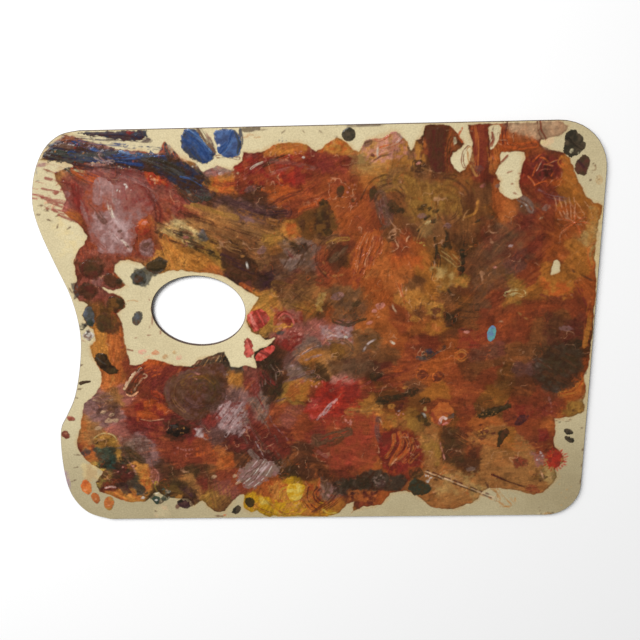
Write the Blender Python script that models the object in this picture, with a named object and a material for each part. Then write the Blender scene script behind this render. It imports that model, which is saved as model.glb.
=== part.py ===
"""Painter's hand palette: an oblong hardboard panel with a thumb hole and a finger notch,
enamelled cream on its face and covered in dried oil paint.

The palette lies flat with its painted face up. The origin is under the middle of the panel:
X runs along the width, Y along the height, and Z is up through the thickness.
Outlines are written in millimetres around the middle of the panel.
"""
import math

import bpy
from mathutils import Vector
from mathutils.geometry import tessellate_polygon

MM = 0.001

# Driving dimensions, in metres.
BOARD_WIDTH = 0.400
BOARD_HEIGHT = 0.300
CORE_THICKNESS = 0.0032
ENAMEL_THICKNESS = 0.0003
FILM_THICKNESS = 0.0004
FIT_GAP = 0.00005
ARRIS_RADIUS = 0.0004
ARRIS_SEGMENTS = 2
ENAMEL_INSET = 0.0004

TOP_RIGHT_RADIUS = 34.0
BOTTOM_RIGHT_RADIUS = 26.0
CORNER_STEPS = 10
LEFT_EDGE_STEPS = 4

THUMB_HOLE_CENTRE = (-86.3, 20.5)
THUMB_HOLE_RADII = (34.1, 26.3)
THUMB_HOLE_TURN = -4.2
THUMB_HOLE_STEPS = 56

# Heights of the layers.
FACE_BASE = CORE_THICKNESS + FIT_GAP
FACE_TOP = FACE_BASE + ENAMEL_THICKNESS
FILM_BASE = FACE_TOP + FIT_GAP
FILM_TOP = FILM_BASE + FILM_THICKNESS
ON_FACE = FILM_BASE
ON_FILM = FILM_TOP + FIT_GAP

HALF_WIDTH = BOARD_WIDTH / MM / 2
HALF_HEIGHT = BOARD_HEIGHT / MM / 2

# The left edge, from the top corner down: an upper bulge, the finger notch and a lower bulge.
LEFT_EDGE = [
    (-160, 150), (-173, 147.3), (-185, 138), (-193.6, 122), (-197.8, 101), (-195, 81.5),
    (-187, 57), (-178.2, 31.5), (-174.7, 5), (-177.6, -20), (-184.2, -45), (-192, -60.5),
    (-198, -72), (-199.95, -93), (-199, -116), (-194.5, -132), (-184, -144.5), (-168, -150),
]

# Paint colours: red, green and blue, then roughness.
CREAM = (0.60, 0.52, 0.33, 0.35)
HARDBOARD = (0.12, 0.060, 0.030, 0.75)
BURNT_OIL = (0.17, 0.045, 0.012, 0.22)
ULTRAMARINE = (0.020, 0.070, 0.22, 0.4)
BLUE_BLACK = (0.020, 0.028, 0.055, 0.4)
MAUVE = (0.21, 0.12, 0.13, 0.4)
LILAC = (0.27, 0.21, 0.20, 0.45)
ORANGE = (0.38, 0.11, 0.02, 0.35)
OCHRE = (0.36, 0.17, 0.025, 0.35)
UMBER = (0.050, 0.022, 0.013, 0.35)
OLIVE = (0.055, 0.045, 0.022, 0.35)
SLATE = (0.055, 0.065, 0.090, 0.45)
BLACK = (0.008, 0.008, 0.008, 0.35)
RED = (0.32, 0.025, 0.012, 0.35)
ROSE = (0.45, 0.07, 0.05, 0.4)
CRIMSON = (0.14, 0.017, 0.015, 0.35)
RED_BROWN = (0.15, 0.030, 0.012, 0.3)
WHITE = (0.50, 0.50, 0.42, 0.4)
GREEN = (0.030, 0.065, 0.050, 0.4)
TEAL = (0.10, 0.28, 0.28, 0.4)


def clear_scene():
    """Remove whatever objects the file opened with."""
    for item in list(bpy.data.objects):
        bpy.data.objects.remove(item, do_unlink=True)


def material(name, paint):
    """A plain Principled material of one colour and roughness."""
    red, green, blue, roughness = paint
    finish = bpy.data.materials.new(name)
    finish.use_nodes = True
    shader = finish.node_tree.nodes["Principled BSDF"]
    shader.inputs["Base Color"].default_value = (red, green, blue, 1.0)
    shader.inputs["Roughness"].default_value = roughness
    shader.inputs["Metallic"].default_value = 0.0
    return finish


def arc(centre, radius, start, end, steps):
    """Points on a circular arc, both ends included; angles in degrees."""
    points = []
    for step in range(steps + 1):
        angle = math.radians(start + (end - start) * step / steps)
        points.append((centre[0] + radius * math.cos(angle), centre[1] + radius * math.sin(angle)))
    return points


def ellipse(centre, radii, turn=0.0, steps=20):
    """A closed oval outline, turned by an angle in degrees."""
    cos_turn = math.cos(math.radians(turn))
    sin_turn = math.sin(math.radians(turn))
    points = []
    for step in range(steps):
        angle = 2 * math.pi * step / steps
        along = radii[0] * math.cos(angle)
        across = radii[1] * math.sin(angle)
        points.append((centre[0] + along * cos_turn - across * sin_turn,
                       centre[1] + along * sin_turn + across * cos_turn))
    return points


def spline_point(before, start, end, after, part):
    """One point of a Catmull-Rom curve between start and end."""
    square = part * part
    cube = square * part
    weights = (-0.5 * cube + square - 0.5 * part,
               1.5 * cube - 2.5 * square + 1.0,
               -1.5 * cube + 2.0 * square + 0.5 * part,
               0.5 * cube - 0.5 * square)
    corners = (before, start, end, after)
    return tuple(sum(weight * corner[axis] for weight, corner in zip(weights, corners))
                 for axis in range(len(start)))


def smooth_loop(points, steps=3):
    """A closed smooth curve through the given points."""
    count = len(points)
    curve = []
    for index in range(count):
        for step in range(steps):
            curve.append(spline_point(points[index - 1], points[index], points[(index + 1) % count],
                                      points[(index + 2) % count], step / steps))
    return curve


def smooth_path(points, steps=3):
    """An open smooth curve through the given points, both ends included."""
    last = len(points) - 1
    curve = []
    for index in range(last):
        for step in range(steps):
            curve.append(spline_point(points[max(index - 1, 0)], points[index], points[index + 1],
                                      points[min(index + 2, last)], step / steps))
    curve.append(points[last])
    return curve


def board_outline(inset=0.0):
    """The panel's outline, anticlockwise from the bottom right corner; inset in millimetres."""
    right = HALF_WIDTH
    top = HALF_HEIGHT
    outline = arc((right - BOTTOM_RIGHT_RADIUS, -top + BOTTOM_RIGHT_RADIUS),
                  BOTTOM_RIGHT_RADIUS, -90, 0, CORNER_STEPS)
    outline += arc((right - TOP_RIGHT_RADIUS, top - TOP_RIGHT_RADIUS),
                   TOP_RIGHT_RADIUS, 0, 90, CORNER_STEPS)
    outline += smooth_path(LEFT_EDGE, LEFT_EDGE_STEPS)
    return offset_loop(outline, inset)


def offset_loop(points, distance):
    """Move an anticlockwise outline inwards by a small distance."""
    moved = []
    count = len(points)
    for index in range(count):
        before = Vector(points[index - 1])
        after = Vector(points[(index + 1) % count])
        along = (after - before).normalized()
        moved.append((points[index][0] - along.y * distance, points[index][1] + along.x * distance))
    return moved


def thumb_hole(growth=0.0):
    """The oval thumb hole, grown by a small distance in millimetres."""
    radii = (THUMB_HOLE_RADII[0] + growth, THUMB_HOLE_RADII[1] + growth)
    return ellipse(THUMB_HOLE_CENTRE, radii, THUMB_HOLE_TURN, THUMB_HOLE_STEPS)


def add_object(name, vertices, faces, paint):
    """Make one named object from vertices in metres."""
    mesh = bpy.data.meshes.new(name)
    mesh.from_pydata(vertices, [], faces)
    mesh.validate()
    mesh.update()
    part = bpy.data.objects.new(name, mesh)
    bpy.context.scene.collection.objects.link(part)
    mesh.materials.append(material(name + "_finish", paint))
    return part


def plate(name, loops, base, top, paint):
    """A flat plate: the first loop is its outline and the others are windows through it."""
    flat = [Vector((x * MM, y * MM, 0.0)) for loop in loops for x, y in loop]
    count = len(flat)
    triangles = tessellate_polygon([[Vector((x * MM, y * MM, 0.0)) for x, y in loop] for loop in loops])
    faces = []
    for a, b, c in triangles:
        if (flat[b] - flat[a]).cross(flat[c] - flat[a]).z < 0:
            b, c = c, b
        faces.append((a + count, b + count, c + count))
        faces.append((a, c, b))
    first = 0
    for order, loop in enumerate(loops):
        size = len(loop)
        clockwise = loop_area(loop) < 0
        outwards = clockwise == (order > 0)
        for index in range(size):
            here = first + index
            there = first + (index + 1) % size
            side = (here, there, there + count, here + count)
            faces.append(side if outwards else tuple(reversed(side)))
        first += size
    vertices = [(p.x, p.y, base) for p in flat] + [(p.x, p.y, top) for p in flat]
    return add_object(name, vertices, faces, paint)


def loop_area(loop):
    """Signed area of an outline, positive when it runs anticlockwise."""
    total = 0.0
    for index in range(len(loop)):
        x_here, y_here = loop[index - 1]
        x_there, y_there = loop[index]
        total += x_here * y_there - x_there * y_here
    return total / 2


DOME_RINGS = ((0.0, 1.0), (0.62, 0.90), (0.92, 0.66))


def dome(name, loop, base, thickness, paint):
    """A dried dab: flat below and rounded above, on a star-shaped anticlockwise outline."""
    if loop_area(loop) < 0:
        loop = loop[::-1]
    size = len(loop)
    middle_x = sum(x for x, _ in loop) / size
    middle_y = sum(y for _, y in loop) / size
    vertices = []
    for rise, reach in DOME_RINGS:
        for x, y in loop:
            vertices.append(((middle_x + (x - middle_x) * reach) * MM,
                             (middle_y + (y - middle_y) * reach) * MM, base + thickness * rise))
    crown = len(vertices)
    vertices.append((middle_x * MM, middle_y * MM, base + thickness))
    vertices.append((middle_x * MM, middle_y * MM, base))
    faces = []
    for index in range(size):
        following = (index + 1) % size
        for ring in range(len(DOME_RINGS) - 1):
            low = ring * size
            high = low + size
            faces.append((low + index, low + following, high + following, high + index))
        top_ring = (len(DOME_RINGS) - 1) * size
        faces.append((top_ring + index, top_ring + following, crown))
        faces.append((following, index, crown + 1))
    part = add_object(name, vertices, faces, paint)
    part.data.shade_smooth()
    return part


SMEAR_SECTION = ((-1.0, 0.0), (-0.7, 0.8), (0.0, 1.0), (0.7, 0.8), (1.0, 0.0))
SMEAR_END = 0.4


def smear(name, spine, base, thickness, paint, steps=3):
    """A dried brush mark along a spine of (x, y, half width) points."""
    stations = smooth_path(spine, steps)
    last = len(stations) - 1
    rows = []
    for index, (x, y, half) in enumerate(stations):
        before = stations[max(index - 1, 0)]
        after = stations[min(index + 1, last)]
        length = math.hypot(after[0] - before[0], after[1] - before[1])
        across = (-(after[1] - before[1]) / length, (after[0] - before[0]) / length)
        rise = SMEAR_END if index in (0, last) else 1.0
        rows.append([((x - across[0] * half * side) * MM, (y - across[1] * half * side) * MM,
                      base + thickness * lift * rise) for side, lift in SMEAR_SECTION])
    width = len(SMEAR_SECTION)
    vertices = [point for row in rows for point in row]
    faces = []
    for row in range(last):
        start = row * width
        for column in range(width - 1):
            corner = start + column
            faces.append((corner, corner + 1, corner + width + 1, corner + width))
        faces.append((start + width - 1, start, start + width, start + 2 * width - 1))
    faces.append(tuple(reversed(range(width))))
    faces.append(tuple(range(last * width, last * width + width)))
    part = add_object(name, vertices, faces, paint)
    part.data.shade_smooth()
    return part


def round_arrises(part):
    """Ease the sharp edges of a plate."""
    bevel = part.modifiers.new("arris", "BEVEL")
    bevel.width = ARRIS_RADIUS
    bevel.segments = ARRIS_SEGMENTS
    bevel.limit_method = "ANGLE"
    bevel.angle_limit = math.radians(60)
    bevel.use_clamp_overlap = True
    part.data.shade_smooth()
    part.data.set_sharp_from_angle(angle=math.radians(30))


# The edge of the oil film, anticlockwise from the top left corner.
FILM_EDGE = [
    # down the left side
    (-168, 147.6), (-179, 140.5), (-188, 131), (-177, 130), (-166, 126.5), (-179, 122.3),
    (-176.5, 112), (-174, 103), (-177, 95), (-167.5, 87), (-161.5, 77), (-168, 68),
    (-173.5, 58), (-173, 46), (-176, 37), (-172, 30), (-167, 27), (-171.5, 19), (-169, 12.5),
    (-164, 8), (-164, -1), (-168, -5), (-166.5, -16), (-163, -26), (-163, -33), (-169, -43),
    (-178, -51), (-180, -62), (-184.5, -75), (-186.5, -84), (-184.8, -93), (-178, -101),
    (-169, -108), (-176, -117), (-173.5, -124.5), (-163, -130),
    # along the bottom
    (-152, -134), (-139, -135), (-132, -129), (-127, -126), (-121, -131), (-113, -132),
    (-105, -132), (-100, -138.5), (-93.5, -133), (-89, -139), (-85, -144), (-77, -143),
    (-71, -136), (-64, -130), (-60.5, -131.5), (-62, -140.5), (-56, -145), (-51, -143.5),
    (-45, -148.6), (-20, -149), (3, -148.8), (13, -146), (19, -139), (25, -136.5), (23, -146.5),
    (33, -140.5), (46, -139), (53, -129.5), (66, -127.5), (77, -135), (87, -142.5),
    (103, -143.3), (117, -138), (123, -131.5), (130, -126.5), (142, -126.5), (154, -128.5),
    (164, -132.4), (173, -128), (181.5, -117), (179, -109.5), (185, -103.5), (182, -96), (176.5, -89),
    (177.5, -78), (176, -68),
    # up the right side
    (186, -67.5), (197, -62), (196.5, -54), (198, -46), (195.5, -35), (198.4, -20),
    (198.8, 0), (198.8, 38), (196, 56), (196.5, 76), (198.8, 92), (192.5, 94), (185, 102.5),
    (179, 112.5), (173, 125), (165, 130), (156, 132.5), (154.5, 137), (163, 138.5), (171, 143),
    (168, 148.6),
    # along the top
    (140, 148.7), (117, 148.4), (104, 148.4), (108, 135), (106, 122), (100, 116.5), (94, 123),
    (95, 130), (103, 135.5), (92, 147.8), (84, 148.8), (76, 148.2), (75, 142), (70, 138.5), (67, 131),
    (64, 137), (59, 143.5), (53, 144.8), (47, 141), (36, 139.5), (31, 132), (25, 136.5),
    (16, 141), (8, 137), (2, 132.5), (-5, 137), (-17, 139.2), (-30, 135.5), (-40, 132.3),
    (-48, 133.5), (-49, 127.5), (-57, 122.3), (-66, 125), (-76, 121), (-82, 126.5), (-91, 131),
    (-101, 140.5), (-106, 134.5), (-120, 135.3), (-134, 137), (-144, 140), (-157, 143),
]

# Bare windows in the oil film: around the thumb hole, then three smaller ones on the right.
THUMB_WINDOW = [
    (-144.5, 51), (-140, 59), (-128, 58.5), (-121.5, 53), (-117, 48), (-107, 50.5), (-96, 51.5),
    (-84, 49.5), (-71, 47.5), (-60, 42), (-51, 36), (-42.5, 30), (-47, 23.5), (-51.5, 13),
    (-48.5, 4), (-43, 1.5), (-39, -3), (-32, -1), (-38, -7.5), (-47, -12), (-46, -20), (-46, -25),
    (-54, -22.5), (-65, -22.5), (-69, -10.5), (-80, -14), (-89, -17.5), (-95, -22), (-107, -21),
    (-121, -15.5), (-131, -18.5), (-140, -20), (-141, -8), (-142.5, 2), (-143, 13), (-147, 20),
    (-139.5, 24), (-141, 32), (-150, 35), (-156.5, 41), (-147, 37.5), (-138, 41),
]
RIGHT_CENTRE_WINDOW = [
    (128, 129.5), (143, 129), (142, 119), (140, 110), (143, 100), (136, 98), (127.5, 103),
    (128, 110), (124.5, 115.5), (128, 122),
]
UPPER_SLOT_WINDOW = [(118, 146), (123, 147.8), (127, 146), (125.5, 137), (120, 130), (119, 138)]
LOWER_CHIP_WINDOW = [(165.5, 43.5), (168, 53), (171.5, 52), (172.5, 46), (168.5, 43)]


# Dried dabs with a free outline: name, outline points, level, thickness, paint.
DABS = [
    ("ultramarine_dab_left", [(-87, 148.6), (-89.5, 141), (-88, 134), (-76.5, 126), (-67.5, 132),
                              (-76, 142), (-79, 148.6)], ON_FACE, 0.0008, ULTRAMARINE),
    ("ultramarine_dab_right", [(-66, 147.8), (-66, 140), (-62.5, 131), (-52, 131), (-49, 139),
                               (-53.5, 147.8)], ON_FACE, 0.0009, ULTRAMARINE),
    ("mauve_patch", [(-164, 98), (-160, 80), (-154, 67), (-143, 62.5), (-132, 63.5), (-128, 74),
                     (-119, 90), (-111, 98), (-116, 110), (-128, 114), (-139, 113), (-148, 118),
                     (-157, 110)], ON_FILM, 0.0010, MAUVE),
    ("mauve_tail_dab", [(-126, 66), (-122, 61.5), (-116.5, 62), (-114.5, 69), (-117, 74),
                        (-123, 73)], ON_FILM, 0.0008, MAUVE),
    ("umber_lobe_first", [(-170, 56), (-163, 61), (-153, 60), (-152, 53), (-157, 46),
                          (-166, 47)], ON_FILM, 0.0009, UMBER),
    ("umber_lobe_second", [(-153, 44.5), (-148.5, 50.5), (-142, 46), (-138.5, 42), (-141, 38.8),
                           (-149, 39.8)], ON_FILM, 0.0011, UMBER),
    ("umber_lobe_third", [(-173, 38), (-168, 43), (-160, 41), (-159, 34), (-166, 30.5)],
     ON_FILM, 0.0008, UMBER),
    ("umber_lobe_fourth", [(-163, 14), (-157, 21), (-149, 20), (-143.5, 12), (-147, 4.5),
                           (-160, 5.5)], ON_FILM, 0.0009, OLIVE),
    ("olive_lobe", [(-153, 27), (-148, 33.5), (-141.5, 31), (-140, 25), (-145, 21.3),
                    (-150, 22)], ON_FILM, 0.0010, OLIVE),
    ("slate_dab_left", [(-171, 18), (-167.5, 24.5), (-163.5, 23.5), (-163, 15), (-165, 10),
                        (-168, 13)], ON_FILM, 0.0007, SLATE),
    ("slate_dab_centre", [(-133, 48), (-128, 51), (-123, 50.5), (-123, 43), (-127, 41.2),
                          (-131.5, 42)], ON_FACE, 0.0009, SLATE),
    ("olive_dab_centre", [(-121.5, 55), (-113, 60), (-106, 56), (-110, 52.5), (-116.5, 51)],
     ON_FILM, 0.0009, OLIVE),
    ("black_dab_thumb", [(-166, -16), (-162.5, -10.5), (-157, -12), (-154, -19), (-149, -24.5),
                         (-154, -27.5), (-161, -24)], ON_FILM, 0.0013, BLACK),
    ("umber_swirl", [(-117, -45), (-112, -32), (-98, -25), (-82, -21), (-70, -21), (-67, -34),
                     (-72, -50), (-82, -61), (-96, -66), (-110, -59)], ON_FILM, 0.0013, UMBER),
    ("peeled_skin", [(-147, -39.5), (-141.5, -31), (-133.5, -22), (-130.5, -27), (-134, -37),
                     (-140, -46)], ON_FILM, 0.0016, RED_BROWN),
    ("rose_daub_upper", [(-50.3, 14), (-48, 20), (-40, 20.5), (-35, 15), (-38, 9), (-46.5, 4)],
     ON_FILM, 0.0009, ROSE),
    ("rose_daub_side", [(-53.5, -2), (-50.5, -1), (-48, -8), (-48, -14.5), (-53.5, -15.5),
                        (-54.3, -9)], ON_FACE, 0.0008, ROSE),
    ("rose_daub_lower", [(-45.5, -18.5), (-46, -13.5), (-38, -8.5), (-32.5, -6.5), (-33, -11),
                         (-40, -17)], ON_FILM, 0.0009, ROSE),
    ("lilac_brush_mark", [(-66, -113), (-58, -103), (-46, -98), (-33, -104), (-32, -109),
                          (-44, -118), (-56, -124)], ON_FILM, 0.0010, LILAC),
    ("olive_dab_lower", [(67, -124), (72, -117), (79, -119.5), (85.5, -125), (80, -130),
                         (72, -131)], ON_FILM, 0.0011, OLIVE),
    ("red_dab_right", [(83, -63), (90, -54.5), (98, -56), (101, -64), (95, -72), (86, -71)],
     ON_FILM, 0.0009, RED_BROWN),
    ("black_blot_right", [(169.5, 131), (172, 142), (177, 143), (184, 134), (181, 128),
                          (174, 125)], ON_FACE, 0.0006, BLACK),
    ("maroon_blot_right", [(178, 119), (181, 125), (186, 125.5), (187.5, 118), (186, 113),
                           (181, 114)], ON_FACE, 0.0005, CRIMSON),
    ("olive_blotch", [(161, -20), (171, -10), (183, -7), (193, -16), (195, -30), (188, -41),
                      (174, -46), (163, -41), (158, -30)], ON_FILM, 0.0009, OLIVE),
    ("umber_patch_centre", [(-68, 62), (-63, 69), (-54, 69), (-48, 62), (-42, 50), (-46, 43),
                            (-58, 44), (-67, 53)], ON_FILM, 0.0010, UMBER),
    ("olive_patch_upper", [(-1, 80), (3, 98), (9, 99), (14, 88), (15, 79), (5, 74)],
     ON_FILM, 0.0007, OLIVE),
    ("wrinkled_skin", [(26, 62), (35, 76), (45, 77), (48, 65), (38, 50), (27, 34), (24, 46)],
     ON_FILM, 0.0012, ORANGE),
    ("yellow_pool", [(-27, -125), (-24, -120.5), (-14, -121), (-14, -127), (-18, -134),
                     (-25, -134)], ON_FILM, 0.0010, OCHRE),
]

# Dried dabs that are plain ovals: name, centre, radii, turn, level, thickness, paint.
OVALS = [
    ("orange_dab_centre", (-121.5, 83), (4.8, 5.8), -20, ON_FILM + 0.0011, 0.0010, ORANGE),
    ("blue_grey_dab", (-131.3, 16), (3.2, 5.2), -25, ON_FACE, 0.0006, SLATE),
    ("black_dab_upper", (24.3, 143.5), (4.4, 4.4), 0, ON_FACE, 0.0008, BLACK),
    ("olive_spot_left", (18.2, 105.5), (2.5, 4.2), -12, ON_FILM, 0.0006, OLIVE),
    ("olive_spot_centre", (40.5, 103.5), (2.3, 5.0), -8, ON_FILM, 0.0006, OLIVE),
    ("black_dab_left", (-108.5, -73.5), (8.0, 4.8), 5, ON_FILM, 0.0009, BLACK),
    ("orange_dab_corner_upper", (-183.6, -121.3), (4.0, 6.2), 5, ON_FACE, 0.0009, ORANGE),
    ("orange_dab_corner_middle", (-177.5, -131), (3.0, 4.8), 8, ON_FACE, 0.0007, ORANGE),
    ("orange_dab_corner_lower", (-167.4, -135.8), (3.6, 6.0), -15, ON_FACE, 0.0008, OCHRE),
    ("red_brown_dab_edge_upper", (-189.2, -63), (2.8, 2.1), -20, ON_FACE, 0.0006, RED_BROWN),
    ("red_brown_dab_edge_lower", (-194.7, -76.3), (3.4, 2.9), -30, ON_FACE, 0.0006, RED_BROWN),
    ("white_dab_edge", (-168.8, 3.5), (4.0, 3.6), 20, ON_FACE, 0.0005, WHITE),
    ("black_dab_bottom_upper", (-56.6, -135.9), (3.7, 3.9), 0, ON_FILM, 0.0011, BLACK),
    ("black_dab_bottom_lower", (-67.2, -142.4), (4.2, 2.5), 38, ON_FACE, 0.0009, BLACK),
    ("plum_dab_bottom", (-108.5, -137), (5.2, 3.6), -20, ON_FACE, 0.0010, CRIMSON),
    ("green_dab_bottom", (-129.8, -133), (2.9, 3.4), 0, ON_FACE, 0.0008, GREEN),
    ("teal_chip", (126.2, 0.2), (2.9, 5.9), -8, ON_FILM, 0.0005, TEAL),
    ("scarlet_splash", (178, -102.3), (5.6, 6.2), 0, ON_FILM, 0.0006, RED),
    ("black_dab_right_upper", (187.2, -78.8), (3.7, 1.9), -28, ON_FACE, 0.0007, BLACK),
    ("black_dab_right_lower", (188.6, -85.6), (4.2, 1.7), -32, ON_FACE, 0.0006, BLACK),
]

# Dried brush marks: name, spine of (x, y, half width), level, thickness, paint.
SMEARS = [
    ("ultramarine_smear", [(-183, 133.5, 3), (-168, 136, 7), (-145, 133.8, 5), (-122, 129, 5),
                           (-104, 126, 7.5), (-88, 117, 8), (-77, 112, 4)],
     ON_FILM, 0.0008, BLUE_BLACK),
    ("umber_edge_smear", [(-160, 148.4, 0.4), (-146, 147.6, 1.0), (-134, 146.4, 2.4),
                          (-122, 145.6, 3.2), (-113, 146.6, 1.8)], ON_FACE, 0.0005, UMBER),
    ("umber_runoff", [(83, 148, 6.5), (83, 138, 6.7), (84, 127, 5.5), (85, 117, 4)],
     ON_FILM, 0.0005, UMBER),
    ("red_brown_runoff", [(113, 148.2, 5), (113, 140, 4.6), (113.5, 128, 4.2), (114, 117, 3)],
     ON_FILM, 0.0005, RED_BROWN),
    ("black_tick", [(-179.6, -34.6, 1.1), (-176, -33.5, 0.9), (-171.2, -32.9, 0.4)],
     ON_FACE, 0.0005, BLACK),
    ("olive_bar", [(119, -65, 1.6), (127, -63, 2.2), (136, -59.5, 1.9), (143, -56.5, 1.2)],
     ON_FILM, 0.0008, OLIVE),
    ("black_dab_tailed", [(135, -91, 1.2), (136.5, -84.5, 2), (138.5, -79.5, 3.6),
                          (142, -77.5, 2)], ON_FILM, 0.0009, BLACK),
]


def build_board():
    """The hardboard core and the cream enamel on its face."""
    core = plate("hardboard_core", [board_outline(), thumb_hole()], 0.0, CORE_THICKNESS, HARDBOARD)
    round_arrises(core)
    inset = ENAMEL_INSET / MM
    plate("face_enamel", [board_outline(inset), thumb_hole(inset)], FACE_BASE, FACE_TOP, CREAM)


def build_film():
    """The thin film of oil and thinned paint that spread and dried on the face."""
    windows = [THUMB_WINDOW, RIGHT_CENTRE_WINDOW, UPPER_SLOT_WINDOW, LOWER_CHIP_WINDOW]
    loops = [smooth_loop(FILM_EDGE, 2)] + [smooth_loop(window, 2) for window in windows]
    plate("oil_film", loops, FILM_BASE, FILM_TOP, BURNT_OIL)


def build_deposits():
    """The separate dabs, patches and brush marks of thick dried paint."""
    for name, outline, level, thickness, paint in DABS:
        dome(name, smooth_loop(outline), level, thickness, paint)
    for name, centre, radii, turn, level, thickness, paint in OVALS:
        dome(name, ellipse(centre, radii, turn), level, thickness, paint)
    for name, spine, level, thickness, paint in SMEARS:
        smear(name, spine, level, thickness, paint)


clear_scene()
build_board()
build_film()
build_deposits()
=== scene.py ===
"""Looks of the painter's palette: enamelled hardboard under layers of dried oil paint.

The painted face is worked out on one canvas, a fine grid over the board in millimetres that holds
paint colour, roughness and relief. The enamel, the oil film and each dab that the CAD model names
are then cut out of the canvas as closed shells.
"""
import math

import bpy
import numpy as np
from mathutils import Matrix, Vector
from mathutils.geometry import delaunay_2d_cdt


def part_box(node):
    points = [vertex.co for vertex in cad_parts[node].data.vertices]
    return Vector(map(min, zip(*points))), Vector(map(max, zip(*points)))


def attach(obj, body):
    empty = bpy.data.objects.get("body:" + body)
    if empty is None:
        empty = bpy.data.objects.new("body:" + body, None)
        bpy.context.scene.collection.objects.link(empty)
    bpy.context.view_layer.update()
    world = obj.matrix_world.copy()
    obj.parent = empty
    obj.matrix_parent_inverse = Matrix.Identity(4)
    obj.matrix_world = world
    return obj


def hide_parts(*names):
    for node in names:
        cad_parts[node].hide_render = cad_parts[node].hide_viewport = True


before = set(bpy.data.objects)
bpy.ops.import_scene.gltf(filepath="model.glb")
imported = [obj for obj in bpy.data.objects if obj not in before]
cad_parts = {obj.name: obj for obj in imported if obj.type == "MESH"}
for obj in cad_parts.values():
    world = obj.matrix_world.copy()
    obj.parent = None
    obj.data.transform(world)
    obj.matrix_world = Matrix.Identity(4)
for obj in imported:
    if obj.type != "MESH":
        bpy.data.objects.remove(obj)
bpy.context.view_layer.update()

MM = 0.001
STEP = 0.5  # the canvas grid
MARGIN = 2.0  # canvas beyond the board
REACH = 6.0  # how far from an outline its distance is measured
ROOM = 4.0  # canvas kept round a dab for its ragged edge
FLAT = 0.02  # height within which a CAD piece's underside is flat

CORE_LOW, CORE_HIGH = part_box("hardboard_core")
FACE_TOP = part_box("face_enamel")[1].z / MM
FILM_THICK = (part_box("oil_film")[1].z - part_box("oil_film")[0].z) / MM
LEFT, RIGHT = CORE_LOW.x / MM - MARGIN, CORE_HIGH.x / MM + MARGIN
BOTTOM, TOP = CORE_LOW.y / MM - MARGIN, CORE_HIGH.y / MM + MARGIN

# Paints: sRGB colour and roughness.
PAINTS = {
    "cream": ((205, 191, 152), 0.42), "shade_cream": ((184, 168, 130), 0.42),
    "yellow_cream": ((206, 182, 124), 0.4), "peach": ((206, 168, 130), 0.38),
    "stain": ((176, 136, 84), 0.34), "ivory": ((226, 216, 190), 0.35),
    "tan": ((166, 112, 60), 0.25), "gold": ((190, 126, 56), 0.22),
    "amber": ((176, 110, 44), 0.22), "ochre": ((160, 115, 50), 0.28),
    "pale_ochre": ((184, 150, 90), 0.3), "orange_brown": ((178, 98, 46), 0.22),
    "burnt_orange": ((160, 80, 36), 0.22), "brick": ((146, 68, 38), 0.22),
    "rust": ((130, 58, 36), 0.22), "wine": ((122, 46, 38), 0.24),
    "red_brown": ((110, 44, 32), 0.24), "maroon": ((86, 38, 30), 0.26),
    "umber": ((82, 48, 30), 0.27), "dark_umber": ((60, 38, 24), 0.3),
    "grey_umber": ((100, 70, 48), 0.3), "brown": ((116, 74, 42), 0.27),
    "tan_brown": ((142, 98, 58), 0.28), "olive_brown": ((102, 67, 32), 0.25),
    "olive_gold": ((130, 86, 36), 0.24), "olive": ((66, 50, 28), 0.32),
    "green_black": ((48, 39, 23), 0.35), "mauve": ((140, 100, 94), 0.4),
    "dark_mauve": ((100, 66, 58), 0.36), "dusky": ((134, 72, 58), 0.32),
    "dusky_rose": ((160, 92, 80), 0.34), "lilac": ((174, 142, 138), 0.42),
    "grey_lilac": ((128, 102, 88), 0.42), "pale_lilac": ((206, 184, 178), 0.42),
    "crimson": ((128, 40, 32), 0.26), "scarlet": ((166, 46, 32), 0.28),
    "rose": ((204, 82, 72), 0.34), "soft_red": ((156, 60, 42), 0.28), "pink": ((208, 134, 118), 0.36),
    "plum": ((60, 34, 38), 0.3), "orange": ((186, 86, 36), 0.26),
    "bright_orange": ((206, 112, 50), 0.28), "ultramarine": ((34, 58, 104), 0.38),
    "blue": ((56, 88, 138), 0.4), "pale_blue": ((96, 124, 160), 0.4),
    "navy": ((32, 40, 60), 0.38), "slate": ((70, 69, 64), 0.4),
    "blue_grey": ((86, 90, 98), 0.42), "smoke": ((70, 56, 42), 0.38),
    "black": ((25, 22, 17), 0.34), "teal": ((98, 158, 156), 0.4),
    "green": ((42, 72, 62), 0.36), "dark_green": ((46, 54, 42), 0.36),
    "yellow": ((196, 146, 26), 0.28), "pale_yellow": ((208, 178, 84), 0.3),
    "purple": ((106, 78, 134), 0.38), "white": ((222, 214, 200), 0.38),
    # glint is a painted highlight: a pale peach laid along crests and ridges where light would catch them.
    "glint": ((226, 166, 124), 0.24), "glaze": ((132, 62, 18), 0.22),
}


# ---------------------------------------------------------------- noise
# Every noise has a seed of its own, a whole number that says which noise it is.

def lattice(column, row, seed):
    """A repeatable number from -1 to 1 for each whole-number place."""
    mixed = (column * 374761393 + row * 668265263 + seed * 974634777) & 0x7FFFFFFF
    mixed = ((mixed ^ (mixed >> 13)) * 1274126177) & 0x7FFFFFFF
    return ((mixed ^ (mixed >> 16)) & 0xFFFF) / 32767.5 - 1.0


def noise(x, y, size, seed):
    """Smooth value noise with features of the given size in millimetres."""
    column = np.floor(x / size).astype(np.int64)
    row = np.floor(y / size).astype(np.int64)
    right = x / size - column
    up = y / size - row
    right = right * right * (3 - 2 * right)
    up = up * up * (3 - 2 * up)
    low = lattice(column, row, seed) * (1 - right) + lattice(column + 1, row, seed) * right
    high = lattice(column, row + 1, seed) * (1 - right) + lattice(column + 1, row + 1, seed) * right
    return low * (1 - up) + high * up


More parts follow.
